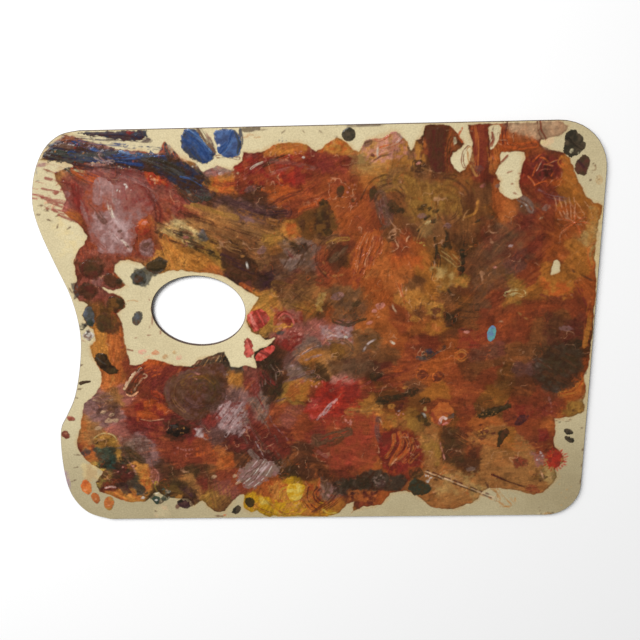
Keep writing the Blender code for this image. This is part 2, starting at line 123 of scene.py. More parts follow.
def clouds(x, y, size, seed, octaves=3):
    """Several sizes of noise added together, from about -1 to 1."""
    total = 0.0
    share = 1.0
    for octave in range(octaves):
        shifted = (x + 31.7 * octave, y - 17.3 * octave)
        total = total + share * noise(*shifted, size / 2 ** octave, seed + octave)
        share *= 0.5
    return total / (2 - 2 * share)


def ease(value):
    """Smooth step from 0 at 0 to 1 at 1."""
    value = np.clip(value, 0.0, 1.0)
    return value * value * (3 - 2 * value)


def linear(tone):
    """An sRGB colour of 0 to 255 as linear light."""
    share = np.array(tone) / 255.0
    return np.where(share <= 0.04045, share / 12.92, ((share + 0.055) / 1.055) ** 2.4)


# ---------------------------------------------------------------- the canvas

columns = int(round((RIGHT - LEFT) / STEP)) + 1
rows = int(round((TOP - BOTTOM) / STEP)) + 1
X, Y = np.meshgrid(LEFT + STEP * np.arange(columns), BOTTOM + STEP * np.arange(rows))
colour = np.zeros((rows, columns, 3))
rough = np.full((rows, columns), 0.4)
relief = np.zeros((rows, columns))
EVERYWHERE = (slice(0, rows), slice(0, columns))
# A fine mottle of the paint's tone, twice as strong at the left as at the right.
GRAIN = np.exp(
    (0.6 + 0.6 * ease(-X / 100)) * (0.12 * clouds(X, Y, 1.6, 617) + 0.12 * noise(X, Y, 1.1, 619)))


def window(xs, ys, margin):
    """The part of the canvas that holds some points with a margin, as a pair of slices."""
    first_column = max(int((min(xs) - margin - LEFT) / STEP), 0)
    last_column = min(int((max(xs) + margin - LEFT) / STEP) + 2, columns)
    first_row = max(int((min(ys) - margin - BOTTOM) / STEP), 0)
    last_row = min(int((max(ys) + margin - BOTTOM) / STEP) + 2, rows)
    return slice(first_row, last_row), slice(first_column, last_column)


def lay(part, cover, paint, second=None, mix=0.0, lift=0.0):
    """Put paint on a part of the canvas; cover is 0 to 1, and mix is the second paint's share."""
    tone, gloss = PAINTS[paint]
    tone = linear(tone)[None, None, :]
    if second is not None:
        tone = tone + (linear(PAINTS[second][0])[None, None, :] - tone) * mix[..., None]
        gloss = gloss + (PAINTS[second][1] - gloss) * mix
    colour[part] += (tone - colour[part]) * cover[..., None]
    rough[part] += (gloss - rough[part]) * cover
    relief[part] += lift * cover


def seed_of(points):
    """A repeatable seed for a mark, from where it starts."""
    return int(abs(points[0][0] * 71 + points[0][1] * 133)) % 9973 + 1


def spline(points, steps=6):
    """A smooth open curve through the given points."""
    points = np.array(points, float)
    padded = np.vstack([2 * points[0] - points[1], points, 2 * points[-1] - points[-2]])
    curve = []
    for index in range(len(points) - 1):
        before, start, end, after = padded[index:index + 4]
        for step in range(steps):
            part = step / steps
            curve.append(0.5 * (2 * start + (end - before) * part
                                + (2 * before - 5 * start + 4 * end - after) * part ** 2
                                + (3 * start - before - 3 * end + after) * part ** 3))
    curve.append(points[-1])
    return np.array(curve)


def along_path(x, y, path):
    """Signed side offset and distance along a path for each place, and the path's length."""
    best = np.full(x.shape, 1e9)
    side = np.zeros(x.shape)
    run = np.zeros(x.shape)
    walked = 0.0
    for start, end in zip(path[:-1], path[1:]):
        step_x, step_y = end - start
        length = math.hypot(step_x, step_y) + 1e-9
        share = np.clip(((x - start[0]) * step_x + (y - start[1]) * step_y) / length ** 2, 0, 1)
        off_x = x - start[0] - share * step_x
        off_y = y - start[1] - share * step_y
        distance = np.hypot(off_x, off_y)
        closer = distance < best
        best = np.where(closer, distance, best)
        side = np.where(closer, np.sign(step_x * off_y - step_y * off_x) * distance, side)
        run = np.where(closer, walked + share * length, run)
        walked += length
    return side, run, walked


def sweep(paint, second, half, points, cover=0.9, dry=0.3, lift=0.08):
    """A brush or knife mark: bristle streaks along a curve, broken and ragged where it is dry."""
    path = spline(points)
    part = window(path[:, 0], path[:, 1], half + 2)
    seed = seed_of(points)
    bend = clouds(X[part], Y[part], 4 + half, seed) * min(half * 0.35, 1.4)
    side, run, walked = along_path(X[part] + bend, Y[part] - bend, path)
    streak = 0.6 * noise(side, run * 0.07, 1.0, seed + 3) + 0.4 * noise(side, run * 0.1, 0.5, seed + 5)
    ends = np.minimum(run, walked - run)
    field = np.minimum(half - np.abs(side), ends + half * (0.5 + 0.9 * streak))
    holes = clouds(X[part], Y[part], 2.5, seed + 9)
    broken = ease(1.25 - 1.5 * dry + 1.5 * streak + (0.3 + dry) * holes)
    share = cover * ease(0.5 + field / (0.5 + 0.25 * half)) * broken
    lay(part, share, paint, second, ease(0.5 + 1.1 * streak))
    relief[part] += lift * share * (0.5 + 0.9 * streak)


def area(paint, second, points, soft=2.0, cover=0.85, mottle=4.0, lift=0.0):
    """A patch of paint, mottled with a second one, with a soft edge of the given width."""
    outline = np.array(points, float)
    part = window(outline[:, 0], outline[:, 1], soft + 2)
    seed = seed_of(points)
    x, y = X[part], Y[part]
    bend = clouds(x, y, 12, seed + 1) * (1.8 + 0.6 * soft) + clouds(x, y, 3, seed + 2) * (0.5 + 0.3 * soft)
    field = polygon_field(x + bend, y - bend, outline) + clouds(x, y, 2.0, seed) * (0.4 + 0.4 * soft)
    share = cover * ease(0.5 + field / max(soft, 0.6))
    lay(part, share, paint, second, ease(0.5 + 1.3 * clouds(x, y, mottle, seed + 7)), lift)


def dab(paint, x_middle, y_middle, x_radius, y_radius, turn=0.0, cover=0.9, lift=0.15):
    """A small oval touch of paint with a ragged edge."""
    part = window([x_middle], [y_middle], max(x_radius, y_radius) + 2)
    x, y = X[part] - x_middle, Y[part] - y_middle
    seed = seed_of([(x_middle, y_middle)])
    turned = math.radians(turn)
    along = (x * math.cos(turned) + y * math.sin(turned)) / x_radius
    across = (y * math.cos(turned) - x * math.sin(turned)) / y_radius
    small = min(x_radius, y_radius)
    ragged = clouds(X[part], Y[part], 1.2 + small * 0.7, seed) * (0.3 + 0.45 * small)
    field = (1 - np.hypot(along, across)) * small + ragged
    lay(part, 0.9 * cover * ease(0.5 + field / 0.8) * ease(0.9 + clouds(X[part], Y[part], 1.5, seed + 3)),
        paint)
    relief[part] += lift * cover * ease(field / (0.6 * small + 0.3))


def line(paint, half, points, cover=0.9, depth=0.0):
    """A thin drawn line or scratch; a negative depth is a groove."""
    path = spline(points)
    part = window(path[:, 0], path[:, 1], half + 1)
    seed = seed_of(points)
    bend = noise(X[part], Y[part], 3, seed) * 0.25
    side, run, walked = along_path(X[part] + bend, Y[part] + bend, path)
    taper = ease(np.minimum(run, walked - run) / 3 + 0.3)
    uneven = ease(0.75 + noise(run, side * 0, 2.5, seed))
    share = 0.85 * cover * ease(1.4 - np.abs(side) / half) * taper * uneven
    lay(part, share, paint)
    relief[part] += depth * share


def arc(x_middle, y_middle, radius, start, stop):
    """Points along part of a circle, its angles in degrees."""
    turns = [math.radians(start + (stop - start) * step / 4) for step in range(5)]
    return [(x_middle + radius * math.cos(turn), y_middle + radius * math.sin(turn)) for turn in turns]


def slant(x, y, reach, start, end):
    """A short path through a point; its ends are start and end times its reach higher."""
    return [(x - reach, y + start * reach), (x, y), (x + reach, y + end * reach)]


def specks(paint, count, x_middle, y_middle, x_spread, y_spread, size, seed, lift=0.1):
    """Small dabs scattered over an oval."""
    for number in range(count):
        angle = math.pi * (1 + lattice(number, 1, seed))
        reach = math.sqrt(0.5 + 0.5 * lattice(number, 2, seed))
        grow = 0.8 * size * (1 + 0.5 * lattice(number, 3, seed))
        dab(paint, x_middle + x_spread * reach * math.cos(angle),
            y_middle + y_spread * reach * math.sin(angle),
            grow, grow * (0.7 + 0.3 * lattice(number, 4, seed)), 90 * lattice(number, 5, seed), 0.85, lift)


def wrinkles(paint, degrees, points, size=3.0, cover=0.6, lift=0.25):
    """Skin dried into folds that run one way: raised ridges with a painted highlight along their crests."""
    outline = np.array(points, float)
    part = window(outline[:, 0], outline[:, 1], 2)
    x, y = X[part], Y[part]
    seed = seed_of(points)
    turned = math.radians(degrees)
    share = ease(polygon_field(x, y, outline) / 3)
    along = x * math.cos(turned) + y * math.sin(turned) + 1.5 * clouds(x, y, 8, seed + 2)
    across = y * math.cos(turned) - x * math.sin(turned) + 1.5 * clouds(x, y, 6, seed + 1)
    ridge = np.clip(1 - 2.4 * np.abs(noise(across, along * 0.3, size, seed)), 0, 1)
    broken = ease(0.6 + clouds(x, y, 5, seed + 5))
    # The crest colour is a painted highlight.
    lay(part, cover * share * broken * ease((ridge - 0.8) / 0.2), paint)
    relief[part] += lift * share * (ridge - 0.3)


def polygon_field(x, y, outline):
    """Distance to a closed outline, positive inside."""
    best = np.full(x.shape, 1e9)
    inside = np.zeros(x.shape, bool)
    for start, end in zip(outline, np.roll(outline, -1, axis=0)):
        step_x, step_y = end - start
        length = step_x ** 2 + step_y ** 2 + 1e-9
        share = np.clip(((x - start[0]) * step_x + (y - start[1]) * step_y) / length, 0, 1)
        best = np.minimum(best, np.hypot(x - start[0] - share * step_x, y - start[1] - share * step_y))
        if step_y:
            crosses = (start[1] > y) != (end[1] > y)
            inside ^= crosses & (x < start[0] + (y - start[1]) * step_x / step_y)
    return np.where(inside, best, -best)


SPOT_REACH = 30  # how far from its spot a paint is followed
SPOT_WIDTHS = ((5.0, 1.0), (2.4, 0.65))  # a soft layer, and a crisper one over it with its share


def ground(zones):
    """Base colour of the dried film: each paint spreads from its spots and meets its neighbours."""
    bend_x = 6.5 * clouds(X, Y, 16, 11, 3) + 2.2 * clouds(X, Y, 4, 17, 3)
    bend_y = 6.5 * clouds(X, Y, 16, 57, 3) + 2.2 * clouds(X, Y, 4, 61, 3)
    totals = np.zeros((2, rows, columns, 5))
    for paint, spots in zones.items():
        tone = np.append(linear(PAINTS[paint][0]), [PAINTS[paint][1], 1.0])
        for x_spot, y_spot in spots:
            part = window([x_spot], [y_spot], SPOT_REACH)
            square = (X[part] + bend_x[part] - x_spot) ** 2 + (Y[part] + bend_y[part] - y_spot) ** 2
            for layer, (width, _) in enumerate(SPOT_WIDTHS):
                weight = np.exp(-square / (2 * width ** 2)) + 1e-9 / (1 + square)
                totals[layer][part] += weight[..., None] * tone
    for layer, (_, share) in enumerate(SPOT_WIDTHS):
        blended = totals[layer][..., :4] / np.maximum(totals[layer][..., 4:], 1e-30)
        colour[...] += (blended[..., :3] - colour) * share
        rough[...] += (blended[..., 3] - rough) * share


# ---------------------------------------------------------------- the run of the brush

def brush_directions(runs):
    """The angle of the brush strokes over the canvas, blended from spots of known direction."""
    double_x = 0.15 * clouds(X, Y, 30, 71)
    double_y = 0.15 * clouds(X, Y, 30, 73)
    for degrees, spots in runs.items():
        double = 2 * math.radians(degrees)
        for x_spot, y_spot in spots:
            weight = np.exp(-((X - x_spot) ** 2 + (Y - y_spot) ** 2) / (2 * RUN_WIDTH ** 2))
            double_x += weight * math.cos(double)
            double_y += weight * math.sin(double)
    return 0.5 * np.arctan2(double_y, double_x) + 0.5 * clouds(X, Y, 12, 79)


def cell_of(x, y):
    """The canvas row and column nearest to each place."""
    row = np.clip(np.rint((y - BOTTOM) / STEP).astype(int), 0, rows - 1)
    column = np.clip(np.rint((x - LEFT) / STEP).astype(int), 0, columns - 1)
    return row, column


def bristles(angle, reach, grain, seed):
    """Streaks that follow the brush: noise averaged along its run, from about -1 to 1."""
    columns_of, rows_of = np.meshgrid(np.arange(columns), np.arange(rows))
    speckle = 0.6 * lattice(columns_of, rows_of, seed) + 0.8 * grain * noise(X, Y, grain, seed + 1)
    total = speckle.copy()
    for way in (-1.0, 1.0):
        x, y = X.copy(), Y.copy()
        for _ in range(reach):
            place = cell_of(x, y)
            x += way * STEP * STRIDE * np.cos(angle[place])
            y += way * STEP * STRIDE * np.sin(angle[place])
            total += speckle[cell_of(x, y)]
    return np.clip(total / (2.2 * total.std()), -1.5, 1.5)


def flake(size, seed, threshold, factor, lift):
    """Patches all over the canvas with crisp edges, a little darker or lighter and raised or sunk."""
    bend = 0.8 * clouds(X, Y, 2.5, seed + 5)
    share = ease((clouds(X + bend, Y - bend, size, seed) - threshold) / 0.14)
    colour[...] *= (1 + (factor - 1) * share)[..., None]
    relief[...] += lift * share


def veins(paint, size, seed, cover, lift):
    """Thin broken ridges all over the canvas, as on paint that dried in folds."""
    bend = 2.0 * clouds(X, Y, 9, seed + 5) + 0.6 * clouds(X, Y, 2.5, seed + 6)
    ridge = 1 - 3.0 * np.abs(clouds(X + bend, Y - bend, size, seed, 2))
    broken = ease(2.2 * clouds(X, Y, 14, seed + 7) - 0.1) * ease(0.7 + 1.4 * clouds(X, Y, 3, seed + 8))
    lay(EVERYWHERE, cover * broken * ease((ridge - 0.82) / 0.16), paint)
    relief[...] += lift * broken * ease((ridge - 0.6) / 0.4)


def drag(angle, streaks, length):
    """Pull the paint along the brush's run, further under some bristles than under others."""
    place = cell_of(X + length * streaks * np.cos(angle), Y + length * streaks * np.sin(angle))
    colour[...] = colour[place]
    rough[...] = rough[place]


# ---------------------------------------------------------------- the film's base colours

# Where each paint lies in the dried film: spots in millimetres from the middle of the board.
ZONES = {
    "tan": [(-175, 120), (-85, 85), (-65, 85), (-155, -46), (-5, 35), (9, -18), (-180, -65), (-165, -80),
        (-105, -118), (-103, -127), (85, -90), (82, -78), (85, -112), (95, -115), (90, -126), (100, -135),
        (125, -82), (130, -95), (140, -100), (150, -90), (145, -110), (160, -114), (165, -125),
        (130, -114), (120, -125), (105, -140)],
    "brick": [(-160, 122), (-165, 62), (-108, 88), (-5, 105), (30, 95), (40, 88), (60, 66), (12, 108),
        (-147, 14), (-135, -46), (15, 46), (60, 10), (65, -24), (96, -31), (140, 11), (106, -40),
        (109, -4), (115, -9), (-127, -56), (-90, -83), (-90, -95), (-12, -72), (10, -70), (30, -73),
        (40, -80), (30, -97), (75, -88), (75, -100), (20, -75), (175, -55), (160, -74)],
    "dusky": [(-168, 116), (-160, 45), (-105, 105), (-95, 112), (-85, 98), (-112, 102), (-46, -30),
        (119, -15), (-128, -110), (-20, -62), (-75, -122)],
    "dusky_rose": [(-172, 107), (-158, 108), (-148, 74), (-145, -45), (-25, 3), (-4, 5), (5, 4),
        (-155, -72), (-150, -80)],
    "wine": [(-163, 101), (-90, 94), (8, 125), (18, 124), (160, 101), (-20, 45), (-38, -33), (-50, -36),
        (35, -38), (-140, -68), (-125, -70), (-80, -60), (-98, -76), (-50, -58), (-3, -76)],
    "orange_brown": [(-169, 92), (-60, 108), (-80, 48), (18, 98), (98, 110), (45, 60), (35, 60),
        (135, 93), (100, 116), (-150, 0), (-150, -12), (-150, -28), (-158, -36), (-50, 38), (-33, 31),
        (-155, -22), (40, 10), (37, 24), (60, 45), (78, 8), (50, 1), (-178, -98), (-75, -98), (-30, -130),
        (38, -104), (120, -71), (172, -75)],
    "burnt_orange": [(-145, 55), (-104, 95), (-25, 105), (30, 106), (25, 80), (70, 60), (125, 95),
        (140, 134), (180, 82), (170, 60), (10, 11), (45, 35), (60, -5), (80, -29), (94, -9), (190, 34),
        (185, -48), (-160, -127), (-40, -122), (65, -91), (45, -132), (38, -111)],
    "rust": [(-161, 86), (-158, 72), (-170, 52), (-113, 75), (-50, 112), (-10, 118), (-15, 95), (-8, 99),
        (20, 115), (5, 112), (10, 65), (0, 55), (18, 66), (150, 130), (160, 80), (-125, -29), (-5, -46),
        (-139, -26), (5, 46), (70, -11), (60, -40), (150, 45), (185, 20), (165, 21), (130, 31), (120, 7),
        (150, 1), (125, -35), (165, -51), (-140, -55), (-115, -90), (-110, -100), (-183, -92),
        (-95, -104), (-75, -110), (-62, -118), (-30, -58), (-4, -130), (20, -89), (60, -81), (85, -55),
        (35, -130), (105, -60), (110, -75), (150, -60), (165, -60), (170, -82), (8, -90)],
    "mauve": [(-128, 118), (-118, 108), (-150, 126), (-65, 118), (-165, -46), (-60, -41), (15, 3),
        (-170, -56), (-160, -62), (-135, -86), (-130, -95)],
    "orange": [(-108, 118), (-20, 108), (165, 110), (124, 133), (-121, -19), (195, -31)],
    "gold": [(-102, 70), (-104, 62), (-95, 60), (-25, 136), (-12, 137), (-20, 79), (15, 138), (55, 121),
        (60, 128), (40, 117), (-160, 3), (-160, -5), (-35, 24), (-60, -33), (-42, 27), (72, 28),
        (-137, -110), (-135, -121), (-150, -130), (40, -58)],
    "yellow_cream": [(-99, 80), (-92, 78)],
    "amber": [(-65, 112), (-85, 55), (-25, 65), (-67, 109), (75, 52), (101, 110), (175, 110), (185, 96),
        (190, 84), (185, 60), (170, 103), (-4, -14), (-12, -40), (88, 8), (85, 38), (170, 40), (180, 46),
        (165, 31), (85, -45), (-15, -140), (-10, -134), (60, -63), (10, -140), (138, -88)],
    "umber": [(-70, 104), (-40, 102), (-30, 89), (-37, 97), (85, 138), (84, 125), (110, 75), (104, 102),
        (-10, 43), (-30, -12), (-30, -31), (86, 18), (92, -2), (110, 37), (110, -28), (152, -42),
        (-120, -103), (-117, -112), (-110, -112), (-60, -98), (-10, -105), (-15, -95), (-5, -114),
        (98, -94), (10, -119)],
    "scarlet": [(-40, 119), (-24, 116), (-15, 128), (1, -48), (19, -43), (-5, -60), (5, -55), (14, -60)],
    "crimson": [(-30, 126), (-6, 122), (150, 116), (-21, -5), (25, -52), (50, -85), (60, -105)],
    "dark_mauve": [(-50, 92), (-62, 98), (-42, 88), (47, 94), (140, 53), (-20, -19), (-65, -46),
        (155, -30), (-85, -72), (-78, -78)],
    "olive_brown": [(-12, 80), (-4, 84), (18, 58), (120, 85), (104, 78), (-157, 15), (105, 25),
        (140, -39), (78, -53), (98, -66), (98, -80), (125, -56), (78, -67)],
    "ochre": [(-30, 72), (-75, 66), (65, 110), (70, 90), (-29, 10), (-20, -43), (90, 43), (140, 32),
        (-160, -87), (-117, -126), (-86, -135), (30, -58), (70, -65), (190, -60)],
    "tan_brown": [(-45, 80), (-60, 88), (-35, 60), (75, 112), (90, 80), (10, 72), (-15, 32), (-22, 30),
        (2, 30), (16, 31), (25, -12), (35, -5), (-170, -70), (-178, -78)],
    "brown": [(-60, 77), (-50, 70), (-32, 80), (-70, 74), (50, 106), (60, 96), (70, 80), (55, 76),
        (112, 100), (-25, 40), (-15, 14), (20, 18), (50, -16), (71, 36), (79, 21), (95, 26), (110, 11),
        (160, -3), (175, 5), (150, -16), (120, -25), (-85, -108), (-80, -140), (105, -90)],
    "grey_lilac": [(-8, 58), (-23, 48), (-6, -4), (-12, -8), (-15, -28), (-45, -46), (-60, -62),
        (-43, -55), (8, -128)],
    "pale_ochre": [(40, 122), (80, 82), (195, 72), (34, 126), (175, -115), (195, -55)],
    "peach": [(50, 133), (143, 145), (161, 146)],
    "olive_gold": [(85, 100), (95, 99), (90, 59), (110, 92), (105, 85), (58, 114), (-8, 23), (15, -10),
        (130, -48)],
    "red_brown": [(115, 136), (113, 122), (145, 85), (150, 65), (150, 100), (-109, -29), (80, -5),
        (185, 0), (-50, -75), (-30, -84), (-90, -118), (10, -96)],
    "grey_umber": [(145, 93), (130, 75), (120, 65), (133, 60), (115, 58), (12, -5), (34, -20), (25, -25),
        (70, -40), (115, 45), (125, 46), (115, 22), (-145, -92)],
    "maroon": [(158, 118), (-115, -40), (50, -30), (-92, -60), (-65, -85), (-50, -88), (60, -57),
        (15, -111), (15, -132), (117, -96)],
    "olive": [(105, 68), (-4, -26), (2, 18), (55, -48), (-111, -120), (-125, -124), (-100, -110),
        (50, -52), (115, -102)],
    "dark_umber": [(-55, 45), (-35, -20), (-35, -42), (-38, -14)],
    "plum": [(-34, 39), (-25, 55)],
    "smoke": [(-60, -25), (172, -42)],
    "pink": [(20, -32)],
    "green_black": [(42, -33), (98, 12), (190, -8), (180, -15), (-22, -108)],
    "pale_yellow": [(-176, -108)],
    "dark_green": [(-145, -121), (-165, -103)],
    "lilac": [(-70, -55), (-68, -66)],
    "yellow": [(-20, -127), (-45, -135), (-55, -140), (-30, -145), (3, -146)],
}

# Directions of the brush strokes, in degrees from the X axis, and where they run that way.
RUNS = {-8: [(-170, 132), (-150, 135), (-130, 130), (-110, 132)],
    -30: [(-90, 118), (-80, 88), (-60, 85), (-40, 78), (-60, 60), (-35, 95), (-175, 95), (-178, 105)],
    -60: [(-150, 105), (-143, 92), (-158, 95)],
    80: [(-140, 75), (-150, 85), (-158, 20), (-155, -10), (-160, 50)],
    30: [(-40, 118), (-30, 122), (-60, 110), (-20, 60), (-15, 68), (0, 110), (-5, 100)],
    5: [(-10, 120), (5, 125), (10, 110), (30, 100), (60, -5), (80, -5), (110, -5), (130, -5), (60, -40)],
    55: [(35, 65), (40, 55), (30, 45), (30, 75), (20, 90)], -55: [(50, 80), (60, 75), (80, 60), (57, 30)],
    90: [(84, 138), (85, 120), (113, 135), (114, 120), (100, 60), (125, 125)],
    -45: [(160, 115), (175, 105), (190, 90), (140, 85), (190, 30), (180, 80)],
    40: [(150, 70), (130, 60), (120, 40), (105, 20), (130, 20), (15, -10), (25, -25)],
    0: [(150, 0), (170, 0), (140, -20), (120, -20), (90, -50), (20, -36), (35, -38), (10, -60), (30, -75)],
    -20: [(180, -30), (160, -40), (-20, -60), (-50, -75), (-130, -75), (15, -90), (40, -90)],
    70: [(70, -90), (60, -100), (75, -95), (-45, -40), (-48, -55), (-15, -135), (0, -138)],
    50: [(-60, -55), (-75, -60), (-50, -110), (-40, -105), (-35, -20), (-10, -25), (-100, -40)],
    10: [(-170, -60), (-150, -70), (-90, -90), (120, -110), (150, -100), (100, -130), (-120, -95)], }
RUN_WIDTH = 16.0  # how far a spot's direction spreads
STRIDE = 1.4  # grid steps between the samples of a streak
DEPTH = 0.72  # the film's paint is darkened by this factor
DAB_DEPTH = 0.84  # and the dabs' paint by this one


# ---------------------------------------------------------------- outlines from the CAD model

def rim_segments(name):
    """The outline of a CAD piece's flat underside, as start and end points in millimetres."""
    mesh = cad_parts[name].data
    mesh.calc_loop_triangles()
    points = np.array([vertex.co for vertex in mesh.vertices]) / MM
    low = points[:, 2].min()
    uses = {}
    for triangle in mesh.loop_triangles:
        corners = points[list(triangle.vertices)]
        if np.abs(corners[:, 2] - low).max() > FLAT:
            continue
        keys = [tuple(np.round(corner[:2], 3)) for corner in corners]
        for index in range(3):
            edge = (keys[index], keys[(index + 1) % 3])
            uses.setdefault(frozenset(edge), []).append(edge)
    return np.array([found[0] for found in uses.values() if len(found) == 1])


def place_of(node):
    """The part of the canvas that holds a CAD piece, with room for ragged edges."""
    low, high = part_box(node)
    return window([low.x / MM, high.x / MM], [low.y / MM, high.y / MM], ROOM)


def cad_field(name, part=EVERYWHERE):
    """Distance inside a CAD piece's outline over a part of the canvas, negative outside."""
    field = np.full(X[part].shape, REACH)
    inside = np.zeros(field.shape, bool)
    first_row = part[0].start
    for start, end in rim_segments(name):
        near = tuple(slice(max(wide.start - own.start, 0), max(wide.stop - own.start, 0))
                     for wide, own in zip(window([start[0], end[0]], [start[1], end[1]], REACH), part))
        x, y = X[part][near], Y[part][near]
        step_x, step_y = end - start
        length = step_x ** 2 + step_y ** 2 + 1e-9
        share = np.clip(((x - start[0]) * step_x + (y - start[1]) * step_y) / length, 0, 1)
        distance = np.hypot(x - start[0] - share * step_x, y - start[1] - share * step_y)
        field[near] = np.minimum(field[near], distance)
        low, high = sorted((start[1], end[1]))
        first = max(int(math.ceil((low - BOTTOM) / STEP)) - first_row, 0)
        last = min(int(math.ceil((high - BOTTOM) / STEP)) - first_row, len(field))
        for row in range(first, last):
            crossing = start[0] + (BOTTOM + (row + first_row) * STEP - start[1]) * step_x / step_y
            inside[row, X[part][row] > crossing] ^= True
    return np.where(inside, field, -field)


# ---------------------------------------------------------------- cutting shells from the canvas

def corner_cases():
    """For each pattern of inside corners: its polygon's slots, and its wall edges.

    Slots 0, 2, 4 and 6 are a cell's corners and 1, 3, 5 and 7 the crossings on its sides."""
    cases = {}
    for pattern in range(1, 16):
        held = [bool(pattern >> corner & 1) for corner in range(4)]
        slots = []
        for corner in range(4):
            if held[corner]:
                slots.append(2 * corner)
            if held[corner] != held[(corner + 1) % 4]:
                slots.append(2 * corner + 1)
        walls = [(slot, slots[(place + 1) % len(slots)]) for place, slot in enumerate(slots)
                 if slot % 2 and slots[(place + 1) % len(slots)] % 2]
        cases[pattern] = (slots, walls)
    return cases


CASES = corner_cases()
CORNER_GAP = 0.08  # the nearest a crossing comes to a grid corner, as a share of the step


def cut(part, field, top, low):
    """Cut a part of the canvas where field is above 0: points, their paint, faces and wall edges."""
    inside = field > 0
    high_row, high_column = field.shape
    data = np.dstack([X[part], Y[part], top, colour[part], rough[part], low])
    corner = np.full(field.shape, -1)
    corner[inside] = np.arange(inside.sum())
    points = [data[inside]]
    count = int(inside.sum())
    crossings = []
    for shift in ((0, 1), (1, 0)):
        near = (slice(0, high_row - shift[0]), slice(0, high_column - shift[1]))
        far = (slice(shift[0], high_row), slice(shift[1], high_column))
        crossed = inside[near] != inside[far]
        share = np.clip(field[near] / np.where(crossed, field[near] - field[far], 1),
                        CORNER_GAP, 1 - CORNER_GAP)
        index = np.full(crossed.shape, -1)
        index[crossed] = count + np.arange(crossed.sum())
        mixed = data[near][crossed] + (data[far][crossed] - data[near][crossed]) * share[crossed][:, None]
        points.append(mixed)
        count += len(mixed)
        crossings.append(index)
    across, upward = crossings
    slots = [corner[:-1, :-1], across[:-1, :], corner[:-1, 1:], upward[:, 1:],
             corner[1:, 1:], across[1:, :], corner[1:, :-1], upward[:, :-1]]
    pattern = (inside[:-1, :-1] + 2 * inside[:-1, 1:] + 4 * inside[1:, 1:] + 8 * inside[1:, :-1])
    faces, walls = [], []
    for case, (ring, edges) in CASES.items():
        cells = pattern == case
        if cells.any():
            faces.append(np.stack([slots[slot][cells] for slot in ring], axis=1))
            walls += [np.stack([slots[start][cells], slots[end][cells]], axis=1) for start, end in edges]
    return np.vstack(points), faces, np.vstack(walls)


def flat_floor(points, walls):
    """Triangles of a flat underside that fills the cut's outline, seen from above as clockwise."""
    used = np.unique(walls)
    place = {index: order for order, index in enumerate(used.tolist())}
    edges = [(place[start], place[end]) for start, end in walls.tolist()]
    flat = [Vector((points[index][0], points[index][1])) for index in used]
    found = delaunay_2d_cdt(flat, edges, [], 0, 1e-6, True)
    source = [origin[0] if origin else 0 for origin in found[3]]
    triangles = [tuple(source[corner] for corner in face) for face in found[2]]
    owner = {}
    for number, triangle in enumerate(triangles):
        for index in range(3):
            owner[(triangle[index], triangle[(index + 1) % 3])] = number
    barrier = set(edges) | {(end, start) for start, end in edges}
    waiting = [owner[edge] for edge in edges if edge in owner]
    kept = set(waiting)
    while waiting:
        triangle = triangles[waiting.pop()]
        for index in range(3):
            edge = (triangle[index], triangle[(index + 1) % 3])
            neighbour = owner.get((edge[1], edge[0]))
            if edge not in barrier and neighbour is not None and neighbour not in kept:
                kept.add(neighbour)
                waiting.append(neighbour)
    floor = np.array([triangles[number][::-1] for number in sorted(kept)])
    return used, floor


SHARP_EDGE = math.radians(60)


def shell(name, node, part, field, top, low, flat=False, shade=1.0):
    """One closed piece cut from the canvas; a flat one has a plain underside at one height.

    Its colours are darkened by the factor called shade."""
    points, faces, walls = cut(part, field, top, low)
    count = len(points)
    if flat:
        used, floor = flat_floor(points, walls)
        lower = np.zeros(count, int)
        lower[used] = count + np.arange(len(used))
        under = points[used].copy()
        under[:, 2] = under[:, 7]
        faces = faces + [floor + count]
    else:
        lower = count + np.arange(count)
        under = points.copy()
        under[:, 2] = under[:, 7]
        faces = faces + [face[:, ::-1] + count for face in faces]
    sides = np.stack([walls[:, 1], walls[:, 0], lower[walls[:, 0]], lower[walls[:, 1]]], axis=1)
    faces = faces + [sides]
    points = np.vstack([points, under])
    points[:, 3:6] *= shade
    sizes = np.concatenate([np.full(len(face), face.shape[1]) for face in faces])
    mesh = bpy.data.meshes.new(name)
    mesh.vertices.add(len(points))
    mesh.vertices.foreach_set("co", (points[:, :3] * MM).astype(np.float32).ravel())
    mesh.loops.add(int(sizes.sum()))
    mesh.loops.foreach_set("vertex_index",
        np.concatenate([face.ravel() for face in faces]).astype(np.int32))
    mesh.polygons.add(len(sizes))
    starts = np.concatenate([[0], np.cumsum(sizes)[:-1]])
    mesh.polygons.foreach_set("loop_start", starts.astype(np.int32))
    mesh.update(calc_edges=True)
    mesh.validate()
    tint = mesh.attributes.new("paint", "FLOAT_COLOR", "POINT")
    tint.data.foreach_set("color", np.clip(points[:, 3:7], 0, 1).astype(np.float32).ravel())
    mesh.shade_smooth()
    mesh.set_sharp_from_angle(angle=SHARP_EDGE)
    piece = bpy.data.objects.new(name, mesh)
    bpy.context.scene.collection.objects.link(piece)
    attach(piece, "root")
    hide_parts(node)
    return piece


# ---------------------------------------------------------------- materials

def new_material(name):
    """An empty node material with its shader."""
    made = bpy.data.materials.new(name)
    made.use_nodes = True
    return made, made.node_tree, made.node_tree.nodes["Principled BSDF"]


def link(tree, source, target):
    """Join two sockets."""
    tree.links.new(source, target)


def noise_node(tree, scale, detail, roughness=0.6):
    """Noise in object space; scale is features per metre."""
    place = tree.nodes.new("ShaderNodeTexCoord")
    grain = tree.nodes.new("ShaderNodeTexNoise")
    grain.inputs["Scale"].default_value = scale
    grain.inputs["Detail"].default_value = detail
    grain.inputs["Roughness"].default_value = roughness
    link(tree, place.outputs["Object"], grain.inputs["Vector"])
    return grain.outputs["Fac"]


